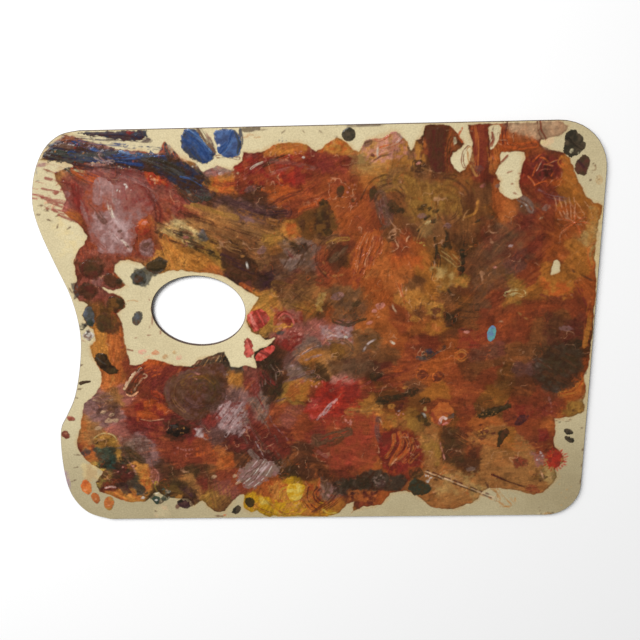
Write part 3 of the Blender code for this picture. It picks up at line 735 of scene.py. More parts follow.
def ranged(tree, value, low, high):
    """A value of 0.3 to 0.7 spread over a new range."""
    spread = tree.nodes.new("ShaderNodeMapRange")
    spread.inputs["From Min"].default_value = 0.3
    spread.inputs["From Max"].default_value = 0.7
    spread.inputs["To Min"].default_value = low
    spread.inputs["To Max"].default_value = high
    link(tree, value, spread.inputs["Value"])
    return spread.outputs["Result"]


def maths(tree, operation, first, second):
    """A Math node on two sockets, or a socket and a number."""
    node = tree.nodes.new("ShaderNodeMath")
    node.operation = operation
    for socket, value in zip(node.inputs, (first, second)):
        if isinstance(value, (int, float)):
            socket.default_value = value
        else:
            link(tree, value, socket)
    return node.outputs["Value"]


def oil_paint(name, coat, tooth, specular=0.1):
    """Dried paint: canvas colour with fine pigment grain, uneven gloss and a toothed surface."""
    made, tree, shader = new_material(name)
    paint = tree.nodes.new("ShaderNodeAttribute")
    paint.attribute_name = "paint"
    pigment = ranged(tree, noise_node(tree, scale=900, detail=4), 0.86, 1.14)
    scaled = tree.nodes.new("ShaderNodeVectorMath")
    scaled.operation = "SCALE"
    link(tree, paint.outputs["Color"], scaled.inputs[0])
    link(tree, pigment, scaled.inputs["Scale"])
    link(tree, scaled.outputs["Vector"], shader.inputs["Base Color"])
    patchy = ranged(tree, noise_node(tree, scale=220, detail=3), 0.75, 1.3)
    link(tree, maths(tree, "MULTIPLY", paint.outputs["Alpha"], patchy), shader.inputs["Roughness"])
    shader.inputs["Coat Weight"].default_value = coat
    shader.inputs["Coat Roughness"].default_value = 0.1
    shader.inputs["Specular IOR Level"].default_value = specular
    bump = tree.nodes.new("ShaderNodeBump")
    bump.inputs["Strength"].default_value = tooth
    bump.inputs["Distance"].default_value = 0.0002
    link(tree, noise_node(tree, scale=1500, detail=4, roughness=0.65), bump.inputs["Height"])
    link(tree, bump.outputs["Normal"], shader.inputs["Normal"])
    return made


FIBRE_DARK, FIBRE_LIGHT = (0.030, 0.014, 0.008, 1), (0.110, 0.056, 0.030, 1)


def hardboard_material():
    """Dark pressed fibre: flecked brown, with the screen's woven imprint on its underside."""
    made, tree, shader = new_material("hardboard_fibre")
    ramp = tree.nodes.new("ShaderNodeValToRGB")
    low, high = ramp.color_ramp.elements
    low.position, low.color = 0.35, FIBRE_DARK
    high.position, high.color = 0.68, FIBRE_LIGHT
    link(tree, noise_node(tree, scale=420, detail=8, roughness=0.7), ramp.inputs["Fac"])
    link(tree, ramp.outputs["Color"], shader.inputs["Base Color"])
    link(tree, ranged(tree, noise_node(tree, scale=300, detail=3), 0.6, 0.85), shader.inputs["Roughness"])
    place = tree.nodes.new("ShaderNodeTexCoord")
    weave = None
    for axis in ("X", "Y"):
        bands = tree.nodes.new("ShaderNodeTexWave")
        bands.bands_direction = axis
        bands.inputs["Scale"].default_value = 160.0
        bands.inputs["Distortion"].default_value = 0.6
        link(tree, place.outputs["Object"], bands.inputs["Vector"])
        weave = bands.outputs["Fac"] if weave is None else maths(tree, "MAXIMUM", weave, bands.outputs["Fac"])
    height = maths(tree, "ADD", weave, noise_node(tree, scale=900, detail=6, roughness=0.7))
    bump = tree.nodes.new("ShaderNodeBump")
    bump.inputs["Strength"].default_value = 0.8
    bump.inputs["Distance"].default_value = 0.0004
    link(tree, height, bump.inputs["Height"])
    link(tree, bump.outputs["Normal"], shader.inputs["Normal"])
    return made


# ---------------------------------------------------------------- building the pieces

# Heights in millimetres.
SINK = 0.03  # the film's underside below the enamel's top
ENAMEL_DIP = 0.02  # the enamel's mean surface below the CAD face
ENAMEL_UNDER = 0.3  # the enamel's underside below the CAD face
FILM_EDGE = 0.08
FILM_RIM = 0.10
FILM_THINNEST = 0.05
DAB_SPREAD = 0.4  # how far a dab's paint reaches past its CAD outline
DAB_SINK = 0.08
DAB_THINNEST = 0.06


def film_field():
    """The oil film's edge: the CAD outline made ragged, with small runs and bays."""
    field = cad_field("oil_film")
    wander = 1.1 * clouds(X, Y, 9, 301) + 0.8 * clouds(X, Y, 3.2, 307)
    return field + wander


def build_enamel():
    """The cream enamel: fine where it shows, plain underneath."""
    field = cad_field("face_enamel")
    top = FACE_TOP - ENAMEL_DIP + np.clip(relief, -0.15, 0.4)
    piece = shell("face_enamel_brushed", "face_enamel", EVERYWHERE, field, top,
                  np.full(X.shape, FACE_TOP - ENAMEL_UNDER), flat=True)
    piece.data.materials.append(oil_paint("brushed_enamel", coat=0.12, tooth=0.25, specular=0.3))


def build_film(field):
    """The oil film, thin at its edge with a slightly raised rim, streaked and lumpy inside."""
    body = FILM_EDGE + 0.5 * FILM_THICK * ease(field / 4)
    rim = FILM_RIM * np.exp(-((field - 0.9) / 0.7) ** 2)
    lumps = 0.05 * clouds(X, Y, 7, 401) + 0.03 * clouds(X, Y, 1.6, 409)
    height = FACE_TOP + np.maximum(body + rim + (lumps + relief) * ease(field / 1.5), FILM_THINNEST)
    piece = shell("oil_film_skin", "oil_film", EVERYWHERE, field, height,
                  np.full(X.shape, FACE_TOP - SINK), flat=True)
    piece.data.materials.append(oil_paint("dried_oil_film", coat=0.3, tooth=0.12))
    return np.where(field > 0, height, FACE_TOP)


def make_dab(node, paint, second, thick, ragged, fade, *marks):
    """A dab that the CAD model names: coated, marked, made ragged, and raised over what it lies on.

    Over the width called fade its colour meets what is under it and its height comes up."""
    part = place_of(node)
    x, y = X[part], Y[part]
    seed = seed_of([tuple(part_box(node)[0][:2])]) + 7
    wander = ragged * (clouds(x, y, 3.0, seed) + 0.6 * clouds(x, y, 1.2, seed + 4))
    edge = cad_field(node, part) + DAB_SPREAD + wander
    blend = ease(0.5 + 1.2 * clouds(x, y, 3.0, seed + 11))
    lay(part, 0.95 * ease(0.3 + edge / fade + 0.3 * clouds(x, y, 1.6, seed + 13)), paint, second, blend)
    relief[part] = 0.0
    for mark, *details in marks:
        mark(*details)
    colour[part] *= np.where(edge > 0, GRAIN[part], 1.0)[..., None]
    body = 0.65 * thick * ease(0.2 * min(1.0, 1.2 / fade) + edge / (fade + 2 * thick))
    lumps = 0.2 * thick * clouds(x, y, 2.2, seed + 2) + 0.1 * thick * clouds(x, y, 0.9, seed + 3)
    height = surface[part] + np.maximum(body + lumps + relief[part], DAB_THINNEST)
    piece = shell(node + "_paint", node, part, edge, height, surface[part] - DAB_SINK,
                  shade=DAB_DEPTH)
    piece.data.materials.append(oil_paint(node + "_oil", coat=0.15, tooth=0.3))
    surface[part] = np.where(edge > 0, height, surface[part])


# ---------------------------------------------------------------- marks on the enamel
# Marks are placed in millimetres from the middle of the board. Most give their paints, their width and
# their path, and then how much they cover, how dry or soft they are, and how high they stand.

def paint_enamel():
    """The brushed cream coat, browner towards the bottom and the right: partly handling wear, partly painted
    shade where the light falls off.
    """
    wear_and_shade = 0.25 + 0.45 * ease((-Y - 60) / 90) + 0.45 * ease((X - 120) / 90) + 0.2 * ease((Y - 110) / 40)
    blend = wear_and_shade + 0.35 * clouds(X, Y, 60, 501) + 0.2 * clouds(X, Y, 9, 507)
    lay(EVERYWHERE, np.ones(X.shape), "cream", "shade_cream", np.clip(blend, 0, 1.3))
    # Painted shade, partly wear: the coat is darkened towards the bottom, the right and the left.
    colour[...] *= (1 - 0.2 * ease((-Y - 40) / 90) - 0.08 * ease((X - 130) / 60)
                    - 0.1 * ease((-X - 80) / 70))[..., None]
    relief[...] += 0.012 * noise(X * 0.08, Y, 0.9, 511) + 0.01 * clouds(X, Y, 2.2, 513)


def mark_enamel_left():
    """Touches of paint on the bare enamel at the left edge."""
    area("yellow_cream", "cream", [(-186, 96), (-168, 92), (-166, 68), (-180, 62)], 8, 0.4)
    for x, y, reach in (
            (-193, 107, 3.5), (-196, 104.5, 2), (-195, 112, 2.5), (-183, 104.5, 8), (-178, 96, 6),
            (-175, 93, 5), (-186, 99, 3), (-190, 115, 3)):
        sweep("crimson", "dusky_rose", 0.7, [(x - reach, y + 0.15 * reach), (x + reach, y - 0.25 * reach)],
            0.9, 0.45, 0.05)
    sweep("rust", "peach", 1.4, [(-188, 101), (-184, 103), (-181, 101), (-183, 98)], 0.8, 0.4)
    dab("crimson", -180, 108, 2.2, 1.6, 20)
    sweep("dusky_rose", "crimson", 0.9, [(-179, 113), (-176, 114.5), (-173, 112.5), (-176, 110)], 0.8, 0.4)
    for x, y, turn in (
            (-181, 92, 20), (-188, 96, -10), (-195, 93, 5), (-182, 84, 60), (-170, 88, 0), (-192, 99.5, 0),
            (-174, 83, 30), (-187, 89, -20)):
        dab("umber", x, y, 1.6, 0.7, turn, 0.85, 0.08)
    line("ultramarine", 0.5, [(-192, 121), (-191.5, 127)], 0.7)
    line("navy", 0.6, [(-194, 117), (-188, 116.5)], 0.6)
    for x, y, length, turn in (
            (-178, 38, 2.4, -60), (-177, -20, 2.6, 15), (-184, -46, 2.2, -10), (-180, -39, 1.8, 10),
            (-185, -45, 1.2, 0), (-193, -115.5, 2.4, 30), (-190, -104, 1.4, 10), (-187, -93.5, 2.6, -5)):
        dab("umber", x, y, length, 0.55, turn, 0.85, 0.08)
    line("dark_umber", 0.7, [(-181, -35), (-176, -34), (-171, -32.5)], 0.9)
    sweep("umber", "rust", 0.7, [(-141, -8), (-137, -9)], 0.8, 0.3)
    sweep("purple", "lilac", 2.0, [(-198.5, -109), (-198, -118), (-198.6, -126)], 0.9, 0.35)
    dab("grey_umber", -154, -88, 2, 1)


def long_scratch():
    """The scratch that runs off the tan sheet on to the enamel, as lines side by side."""
    for shift, paint, half in (
            (0, "maroon", 0.7), (1.4, "peach", 0.6), (2.6, "umber", 0.8), (3.8, "tan", 0.5)):
        line(paint, half, [(80, -109.4 - shift), (105, -120.2 - shift), (134, -133.4 - 0.8 * shift)], 0.95,
            0.1 if paint == "peach" else -0.1)


def mark_crossings():
    """Strokes that cross from the film to the bare enamel, so both of them carry them."""
    for paint, second, half, points, dry in (
            ("dark_umber", "plum", 2.4, [(-194, 131), (-184, 136), (-170, 141), (-158, 140)], 0.5),
            ("slate", "navy", 2.0, [(-193, 135), (-184, 140), (-172, 143)], 0.6),
            ("tan", "mauve", 1.6, [(-192, 128), (-182, 127), (-168, 122)], 0.6),
            ("umber", "rust", 1.4, [(-186, 124), (-178, 120), (-170, 116)], 0.6),
            ("plum", "ultramarine", 2.0, [(-160, 143), (-145, 142), (-128, 140)], 0.6),
            ("navy", "plum", 2.6, [(-150, 146), (-132, 145), (-112, 143)], 0.5),
            ("ultramarine", "navy", 1.6, [(-128, 139), (-116, 138), (-104, 136)], 0.6),
            ("umber", "plum", 1.6, [(-170, 146), (-160, 144.6), (-150, 144)], 0.65),
            ("plum", "umber", 2.4, [(-77, 149), (-74, 142), (-69, 134)], 0.35),
            ("dusky_rose", "plum", 1.2, [(-73, 148), (-70, 142), (-68, 136)], 0.5),
            ("plum", "wine", 1.3, [(-66, 130.6), (-58, 130), (-51, 129)], 0.5),
            ("umber", "navy", 1.6, [(-49.6, 148), (-49, 141), (-51, 134)], 0.4),
            ("umber", "rust", 1.0, [(105, 134), (102, 130), (101.5, 124), (103, 120)], 0.3),
            ("umber", "rust", 0.9, [(118, 122), (123, 121), (127, 122), (132, 127)], 0.3),
            ("rust", "maroon", 1.8, [(130, 149), (129, 142), (130, 134)], 0.4),
            ("maroon", "rust", 1.6, [(152, 149), (153, 143), (156, 138)], 0.4),
            ("rust", "orange", 1.2, [(100, 146), (98, 141), (101, 137)], 0.4),
            ("maroon", "rust", 1.3, [(122, 146), (121, 139), (119, 133)], 0.4),
            ("stain", "tan", 2.0, [(112, 115), (108, 122), (106, 132)], 0.5)):
        sweep(paint, second, half, points, 0.9, dry, 0.06)
    for paint, x, y, wide, tall in (
            ("green_black", -133, -130, 3, 2.4), ("dark_umber", -127, -134, 5, 2.2),
            ("dark_green", -122, -131, 4, 2.6), ("green_black", -119, -127, 4, 2),
            ("maroon", -113, -139, 3, 2), ("dark_umber", -107, -134, 5, 4), ("plum", -101, -130, 3, 3),
            ("umber", -103, -137, 3, 2.4), ("ivory", -129, -127, 1.2, 0.8), ("pink", -111, -136, 1.2, 0.8),
            ("green_black", -137, -127, 2, 1.4), ("umber", -144, -128, 2.4, 1.6)):
        dab(paint, x, y, wide, tall, 25, 0.9, 0.25)
    for x, y, reach, tilt in (
            (-184, 103, 9, -0.3), (-178, 99, 8, -0.4), (-176, 94, 7, -0.5), (-182, 110, 7, -0.2),
            (-174, 90, 6, -0.5), (-190, 106, 5, -0.1), (-178, 116, 8, -0.3), (-186, 97, 5, -0.4)):
        sweep("crimson", "dusky", 1.1, slant(x, y, reach, -tilt, tilt), 0.9, 0.6, 0.06)
    area("slate", "umber", [(-178, 44), (-172, 45), (-170, 33), (-176, 31)], 1.5, 0.85, 1.5, 0.1)
    dab("black", -172.5, 10, 3.4, 2.2, 20, 0.95, 0.25)
    dab("black", -169.5, 11.5, 1.6, 1.2, 40, 0.95, 0.25)
    long_scratch()
    sweep("olive_brown", "tan", 0.8, [(131, -126), (136, -131), (135, -137), (141, -140)], 0.9, 0.4, 0.03)
    sweep("ochre", "tan", 0.7, [(136, -127), (141, -134), (147, -141), (139, -142)], 0.9, 0.4, 0.03)
    for step in range(24):
        turn = math.radians(15 * step)
        reach = 6.6 + 0.5 * (7 * step % 5)
        dab("scarlet", 178.6 + reach * math.cos(turn), -102 + reach * math.sin(turn), 2.2, 0.7, 15 * step,
            0.95, 0.1)
    area("green_black", "slate",
        [(-131, 52), (-119, 55), (-112, 62), (-105, 58), (-107, 50), (-118, 46), (-124, 40), (-132, 42)],
        1.5, 0.9, 2)


def mark_enamel_hole():
    """Drips and touches around the thumb hole."""
    for x, low, high in ((-121, 10, 31), (-119, 20, 33), (-123, 8, 18), (-116, 2, 9)):
        line("wine", 0.7, [(x, low), (x + 0.8, 0.5 * (low + high)), (x - 0.5, high)], 0.7)
    line("wine", 0.6, [(-136, 0), (-129, 2.5), (-122, 3)], 0.75)
    line("rust", 0.6, [(-174, 0), (-170, -2.5), (-167, -4)], 0.8)
    for paint, x, y, wide, tall in (
            ("pink", -130, -10, 3, 1.6), ("orange", -120, -11, 2.6, 1.8), ("tan", -113, -14, 2.2, 1.6),
            ("stain", -106, -11, 1.6, 1.2), ("pink", -103, -15, 2.4, 1.6), ("peach", -126, -14, 3, 1.4)):
        dab(paint, x, y, wide, tall, 20, 0.7)
    dab("umber", -147, -22, 1.4, 0.6, 70)
    sweep("stain", "tan", 0.6, [(-137, 29), (-133, 29.6), (-130, 28.6)], 0.6, 0.6)
    sweep("peach", "yellow_cream", 2.4, [(-160, 44), (-158, 34), (-154, 28)], 0.35, 0.5, 0.0)
    line("dark_umber", 0.7, [(-124, -27), (-104, -30.5), (-84, -27.5)], 0.55)


def mark_enamel_top():
    """Stains and specks along the bare strip at the top."""
    area("dark_umber", "plum", [(-49, 150), (-35, 150), (-35, 146.5), (-47, 146)], 1.0, 0.75)
    for x, y, wide in ((-46, 143, 2.6), (-37, 143, 2.4), (-42, 144.6, 4)):
        dab("tan", x, y, wide, 0.8, 0, 0.6, 0.03)
    line("grey_umber", 0.4, [(-10, 149), (-7, 146.5), (-5, 144)], 0.7)
    specks("blue_grey", 5, -24, 141, 6, 4, 0.5, 31, 0.02)
    for x, y, wide, turn in ((-33, 148, 3, 0), (-20, 146, 1.2, 30), (16, 142, 1.2, 0), (5, 146, 1.4, -40)):
        dab("umber", x, y, wide, 0.6, turn, 0.6, 0.03)
    line("plum", 1.1, [(14, 149.6), (30, 149.2), (48, 149.6)], 0.85)
    area("yellow_cream", "cream", [(130, 149), (150, 149), (150, 136), (130, 136)], 4, 0.5)
    specks("tan", 9, 140, 142, 8, 5, 0.5, 33, 0.02)
    sweep("maroon", "rust", 1.0, [(121, 143), (122, 138), (121, 134)], 0.85, 0.4)
    sweep("rust", "maroon", 0.9, [(125, 142), (125.5, 136)], 0.8, 0.4)
    for x, y, wide, turn in (
            (134, 116, 2.2, 20), (141, 115, 1.2, 0), (139, 101, 2.0, -30), (136, 108, 0.9, 0),
            (154, 145, 3.4, 85), (158, 143, 2.4, 80), (170, 146, 1.0, 0)):
        dab("rust", x, y, wide, 0.6, turn, 0.75, 0.05)
    area("peach", "yellow_cream", [(152, 141), (162, 141), (161, 133), (152, 133)], 2, 0.6)
    specks("umber", 7, 192, 114, 4, 8, 0.6, 35, 0.03)
    line("brown", 0.6, [(189, 120), (192, 119), (192, 116.5), (189.5, 116)], 0.6)
    dab("stain", 195, 109, 2.6, 3.4, 0, 0.5, 0.0)


def mark_enamel_right():
    """Stains, scribbles and specks on the bare enamel at the right edge and the lower corner."""
    for x, y, wide, turn in (
            (194, 83, 1.8, 20), (196, 75, 1, 0), (199, -94, 1.4, 80), (199, -107, 1.6, 80),
            (199, -121, 2.2, 85), (197, -76, 1, 0), (184.5, 73, 0.8, 0)):
        dab("umber", x, y, wide, 0.7, turn, 0.75, 0.05)
    area("stain", "yellow_cream", [(189, 90), (199, 92), (199, 50), (193, 50)], 5, 0.45)
    area("stain", "shade_cream", [(168, -147), (180, -147), (178, -150), (168, -150)], 2, 0.8)
    specks("olive", 9, 174, -148, 6, 2, 0.8, 37, 0.03)
    specks("grey_umber", 7, 173, -144, 5, 3, 0.5, 39, 0.02)
    specks("stain", 6, 185, -130, 9, 12, 0.6, 41, 0.01)
    specks("shade_cream", 24, 90, -142, 60, 5, 0.9, 43, 0.01)
    for path in (
            ((132, -126), (136, -132), (139, -139), (144, -142)), ((134, -127), (138, -134), (138, -138)),
            ((147, -126), (149.5, -132), (150, -138)), ((144, -128), (146, -134), (150, -139)),
            ((138, -139), (146, -143))):
        sweep("tan", "stain", 0.8, list(path), 0.8, 0.5, 0.03)
    sweep("rust", "tan", 1.0, [(172, -67), (180, -69.5), (186, -68), (190, -70)], 0.8, 0.6)
    line("umber", 0.5, [(176, -69.4), (184, -70.4), (191, -69.8)], 0.6)
    for x, y in ((175, -68.5), (180, -71), (188, -69)):
        dab("dark_umber", x, y, 0.9, 0.6, 0, 0.8)
    area("yellow_cream", "stain", [(-186, -100), (-172, -102), (-172, -116), (-184, -117)], 3, 0.5)
    area("peach", "shade_cream", [(-134, -138), (-122, -138), (-120, -147), (-132, -147)], 3, 0.5)
    dab("dark_umber", -131, -143, 1.2, 0.8)
    dab("grey_umber", -82, -148, 3.4, 0.9)
    dab("orange", -77, -147, 1.4, 0.9)


# ---------------------------------------------------------------- marks on the oil film

def mark_smear():
    """The dark, many-coloured knife smear across the top left corner."""
    for paint, second, half, points, dry in (
            ("tan", "shade_cream", 2.5, [(-190, 131), (-172, 124), (-160, 121)], 0.7),
            ("dark_umber", "plum", 5, [(-189, 134), (-165, 129), (-130, 127), (-100, 119)], 0.2),
            ("slate", "navy", 4, [(-184, 137), (-160, 134), (-128, 130), (-103, 124)], 0.35),
            ("olive", "dark_green", 2, [(-186, 130), (-172, 125), (-158, 114)], 0.4),
            ("plum", "ultramarine", 3, [(-158, 147.5), (-135, 147), (-108, 146)], 0.45),
            ("navy", "plum", 4, [(-142, 146.5), (-125, 146), (-113, 144)], 0.25),
            ("umber", "mauve", 2.2, [(-182, 142), (-168, 139), (-150, 135)], 0.5),
            ("cream", "ochre", 1.2, [(-188, 132), (-176, 127), (-160, 122)], 0.75),
            ("crimson", "wine", 0.8, [(-190, 128), (-184, 125.5), (-178, 122)], 0.5),
            ("umber", "dark_green", 8, [(-95, 124), (-84, 116), (-76, 108)], 0.25),
            ("dark_umber", "slate", 8, [(-104, 126), (-92, 118), (-84, 106)], 0.2),
            ("dark_green", "umber", 4, [(-96, 108), (-90, 103), (-82, 100)], 0.35),
            ("navy", "slate", 4, [(-99, 138), (-96, 130), (-92, 121)], 0.3),
            ("dark_green", "slate", 4, [(-92, 115), (-82, 111), (-74, 104)], 0.4),
            ("plum", "umber", 2.2, [(-78, 149), (-75, 142), (-70, 134)], 0.45),
            ("dusky_rose", "plum", 1.4, [(-74, 148), (-71, 142), (-69, 136)], 0.6),
            ("plum", "wine", 1.2, [(-66, 130), (-58, 130), (-52, 129)], 0.5),
            ("navy", "umber", 2, [(-51, 148), (-50, 141), (-52, 134)], 0.4)):
        sweep(paint, second, half, points, 0.92, dry, 0.12)
    area("ivory", "peach", [(-101, 148), (-92, 148), (-90, 138), (-97, 133)], 1.5, 0.75)
    area("peach", "tan", [(-91, 135), (-84, 132), (-74, 123), (-80, 122), (-90, 129)], 1.5, 0.8)
    area("cream", "shade_cream", [(-71, 129), (-57, 129), (-56, 123), (-70, 122)], 1.5, 0.6)
    specks("white", 6, -80, 128, 14, 8, 0.6, 51)
    specks("crimson", 5, -140, 143, 20, 4, 0.9, 53)


def mark_upper_left():
    """The mauve and brick quarter under the smear."""
    area("dusky", "wine", [(-176, 117), (-150, 124), (-120, 122), (-100, 116), (-94, 102), (-104, 88),
            (-112, 84), (-120, 104), (-160, 100), (-170, 94)], 5, 0.7, 3)
    area("red_brown", "dusky",
        [(-174, 68), (-150, 70), (-112, 62), (-134, 58), (-144, 40), (-150, 26), (-168, 32), (-174, 48)], 5,
        0.75, 4)
    sweep("brick", "orange", 4, [(-164, 124), (-158, 119), (-150, 116)], 0.8, 0.4)
    for x, y, paint in ((-172, 107, "mauve"), (-168, 86, "wine"), (-175, 60, "tan")):
        dab(paint, x, y, 3, 2.4, 20, 0.7)
    sweep("wine", "crimson", 2.5, [(-166, 112), (-165, 100), (-160, 90)], 0.7, 0.4)
    sweep("umber", "rust", 3, [(-157, 102), (-153, 96), (-150, 88)], 0.7, 0.5)
    sweep("wine", "maroon", 2.4, [(-118, 112), (-110, 96), (-111, 82)], 0.75, 0.35)
    sweep("dusky", "mauve", 3.5, [(-134, 116), (-124, 113), (-112, 104)], 0.6, 0.5)
    area("orange", "scarlet", [(-116, 121), (-104, 120), (-102, 112), (-114, 112)], 2, 0.8, 2)
    specks("glint", 7, -109, 116, 5, 4, 0.9, 61)
    specks("ivory", 6, -133, 127, 8, 3, 0.8, 63)
    specks("crimson", 6, -131, 109, 8, 5, 0.8, 65)
    area("pale_lilac", "peach", [(-153, 133), (-142, 131), (-142, 127), (-152, 127)], 1.5, 0.6)
    area("tan_brown", "ochre", [(-114, 88), (-96, 84), (-80, 76), (-84, 70), (-100, 76), (-112, 80)], 4,
        0.65, 2.5)
    for x, y, reach, paint in (
            (-103, 82, 7, "tan"), (-97, 78, 6, "green_black"), (-90, 74, 7, "dark_umber"),
            (-99, 72, 5, "orange_brown"), (-86, 70, 6, "dark_umber"), (-108, 78, 4, "maroon"),
            (-82, 82, 7, "tan"), (-76, 73, 6, "umber"), (-93, 66, 6, "umber"), (-95, 77.5, 4, "navy"),
            (-87, 71, 5, "green_black"), (-91, 79, 4, "wine"), (-104, 74, 5, "umber"),
            (-79, 66, 6, "green_black"), (-90, 60, 6, "umber")):
        sweep(paint, "umber", 1.5, slant(x, y, reach, 0.4, -0.4), 0.85, 0.4, 0.15)
    sweep("gold", "orange_brown", 4, [(-107, 76), (-104, 68), (-100, 60)], 0.7, 0.4)
    sweep("maroon", "umber", 1.8, [(-116, 76), (-110, 70), (-108, 62)], 0.6, 0.5)
    area("umber", "dusky", [(-176, 66), (-150, 62), (-146, 50), (-158, 28), (-170, 30)], 6, 0.45, 3)
    sweep("dusky", "rust", 5, [(-166, 78), (-166, 66), (-160, 52), (-162, 42)], 0.6, 0.45)
    dab("mauve", -158, 44, 5, 3, 30, 0.5)
    area("umber", "rust", [(-177, 60), (-170, 60), (-170, 50), (-176, 50)], 2, 0.6)


def mark_upper_middle():
    """Reds, ambers and umbers between the blue dabs and the wrinkled skin."""
    for x, y, reach, paint, second in (
            (-46, 116, 12, "rust", "crimson"), (-38, 112, 12, "orange", "crimson"),
            (-28, 114, 12, "crimson", "rust"), (-14, 116, 12, "maroon", "brick"),
            (-6, 108, 12, "orange", "brick"), (-20, 102, 12, "rust", "maroon"),
            (-36, 104, 10, "maroon", "umber"), (-4, 120, 12, "crimson", "maroon"),
            (-12, 126, 10, "wine", "rust"), (-26, 124, 10, "orange_brown", "crimson"),
            (2, 98, 12, "brick", "orange")):
        sweep(paint, second, 1.8, slant(x, y, reach, -0.5, 0.3), 0.7, 0.55, 0.12)
    area("mauve", "dusky_rose", [(-72, 126), (-60, 126), (-57, 118), (-71, 117)], 3, 0.7)
    dab("pale_lilac", -64, 119, 1.6, 1.1)
    area("orange", "amber", [(-71, 118), (-55, 118), (-54, 106), (-72, 106)], 3, 0.8)
    sweep("crimson", "rust", 1.4, [(-68, 113), (-62, 111), (-56, 112)], 0.8, 0.4)
    specks("peach", 3, -54, 120, 3, 2, 1.1, 71)
    area("crimson", "brick", [(-52, 131), (-8, 131), (-2, 122), (-8, 110), (-50, 112)], 5, 0.8)
    area("maroon", "dusky", [(-52, 133), (-38, 134), (-36, 128), (-50, 127)], 3, 0.7)
    area("orange_brown", "amber", [(-36, 139), (-22, 141), (-5, 138), (-8, 131), (-34, 131)], 2.5, 0.85)
    for lift_up in (0, 2, 4, 6):
        sweep("pink", "crimson", 0.6,
            [(-48, 115 + lift_up), (-40, 119.6 + lift_up), (-33, 125 + 0.5 * lift_up)], 0.8, 0.5, 0.15)
    sweep("pink", "ivory", 0.7, [(-43, 122), (-39, 124.6), (-35, 126)], 0.9, 0.3, 0.2)
    sweep("pink", "dusky_rose", 1.0, [(-30, 118), (-24, 120), (-17, 122)], 0.8, 0.5, 0.15)
    sweep("green_black", "umber", 1.5, [(-34, 124), (-25, 128), (-17, 131)], 0.9, 0.25, 0.15)
    line("green_black", 0.8, [(-17, 131), (-16.6, 127), (-18, 124)], 0.8, 0.1)
    sweep("grey_lilac", "dusky", 1.8, [(-29, 127), (-14, 125), (0, 121)], 0.7, 0.5)
    specks("pink", 6, -12, 131, 5, 3, 0.7, 73)
    # A painted highlight.
    dab("white", -7, 129, 0.9, 0.7)
    area("scarlet", "crimson", [(-27, 121), (-14, 120), (-13, 111), (-26, 112)], 3, 0.75)
    specks("orange", 9, -30, 110, 12, 6, 1.2, 75)
    area("dark_umber", "dark_mauve", [(-76, 106), (-52, 104), (-26, 96), (-24, 86), (-60, 94)], 5, 0.75)
    sweep("dark_mauve", "plum", 4, [(-80, 108), (-60, 101), (-38, 92), (-20, 92)], 0.75, 0.35)
    dab("mauve", -47, 87, 4, 2.4, -20, 0.8)
    dab("mauve", -44, 108, 4, 2, 20, 0.5)
    for step in range(5):
        sweep("orange", "rust", 1.4,
            [(-21 + 4 * step, 96 + step), (-14 + 4 * step, 103 + step), (-8 + 4 * step, 110)], 0.7, 0.6,
            0.12)
    for x, y, paint, second, length in (
            (-70, 93, "tan", "ochre", 16), (-88, 90, "maroon", "umber", 6),
            (-58, 84, "tan_brown", "tan", 14), (-40, 88, "amber", "brown", 12),
            (-68, 80, "tan", "tan_brown", 12), (-34, 79, "olive_brown", "tan", 12),
            (-50, 77, "brown", "umber", 12), (-78, 86, "plum", "umber", 5), (-82, 94, "ochre", "tan", 8),
            (-92, 84, "yellow_cream", "tan", 6), (-64, 73, "tan_brown", "olive_brown", 12),
            (-24, 84, "orange_brown", "tan", 8), (-44, 71, "umber", "brown", 9)):
        sweep(paint, second, 2.2, slant(x, y, length, 0.35, -0.3), 0.75, 0.5, 0.12)
    area("blue_grey", "slate", [(-84, 79), (-77, 79), (-76, 74), (-83, 74)], 2, 0.8)
    for x, y, wide, tall in (
            (-96, 78, 3, 2.2), (-88, 74, 4, 2), (-90, 68, 3, 1.2), (-84, 66, 5, 1.2), (-75, 64, 4, 1.4),
            (-72, 61, 4, 1.2), (-97, 56, 3, 2), (-90, 54, 3, 1.6)):
        dab("green_black", x, y, wide, tall, -30, 0.85)
    dab("dusky_rose", -92, 75, 2, 1.2)
    line("dusky_rose", 0.6, [(-95, 71), (-92, 72), (-91, 69.5), (-94, 68.5), (-95, 71)], 0.7, 0.1)
    area("gold", "amber", [(-104, 68), (-90, 66), (-78, 62), (-80, 52), (-102, 54)], 4, 0.75)
    area("brown", "umber", [(-44, 70), (-28, 70), (0, 50), (-2, 24), (-30, 30), (-34, 48), (-44, 50)], 6,
        0.6, 5)
    dab("mauve", -38, 65, 4, 2.4, 30, 0.7)
    area("grey_lilac", "grey_umber", [(-26, 72), (-6, 72), (-2, 56), (-20, 50), (-26, 54)], 4, 0.75)
    for step in range(6):
        sweep("lilac" if step % 2 else "dark_umber", "umber", 0.8,
            [(-25 + 3 * step, 50 + step), (-19 + 3 * step, 60 + step), (-13 + 3 * step, 69)], 0.75, 0.6,
            0.15)
    area("dark_umber", "olive", [(-18, 71), (-8, 72), (-6, 63), (-16, 61)], 2.5, 0.85)
    sweep("maroon", "wine", 1.2, [(-21, 64), (-18, 61), (-14, 58)], 0.8, 0.4)
    area("orange", "orange_brown", [(-21, 83), (-13, 84), (-12, 76), (-20, 75)], 3, 0.8)
    dab("umber", -9, 83, 2.4, 5, 10, 0.85)
    for x, y in ((-22, 74), (-42, 70), (-30, 80), (-60, 71), (-50, 84)):
        dab("dark_umber", x, y, 2, 0.8, -35, 0.85)


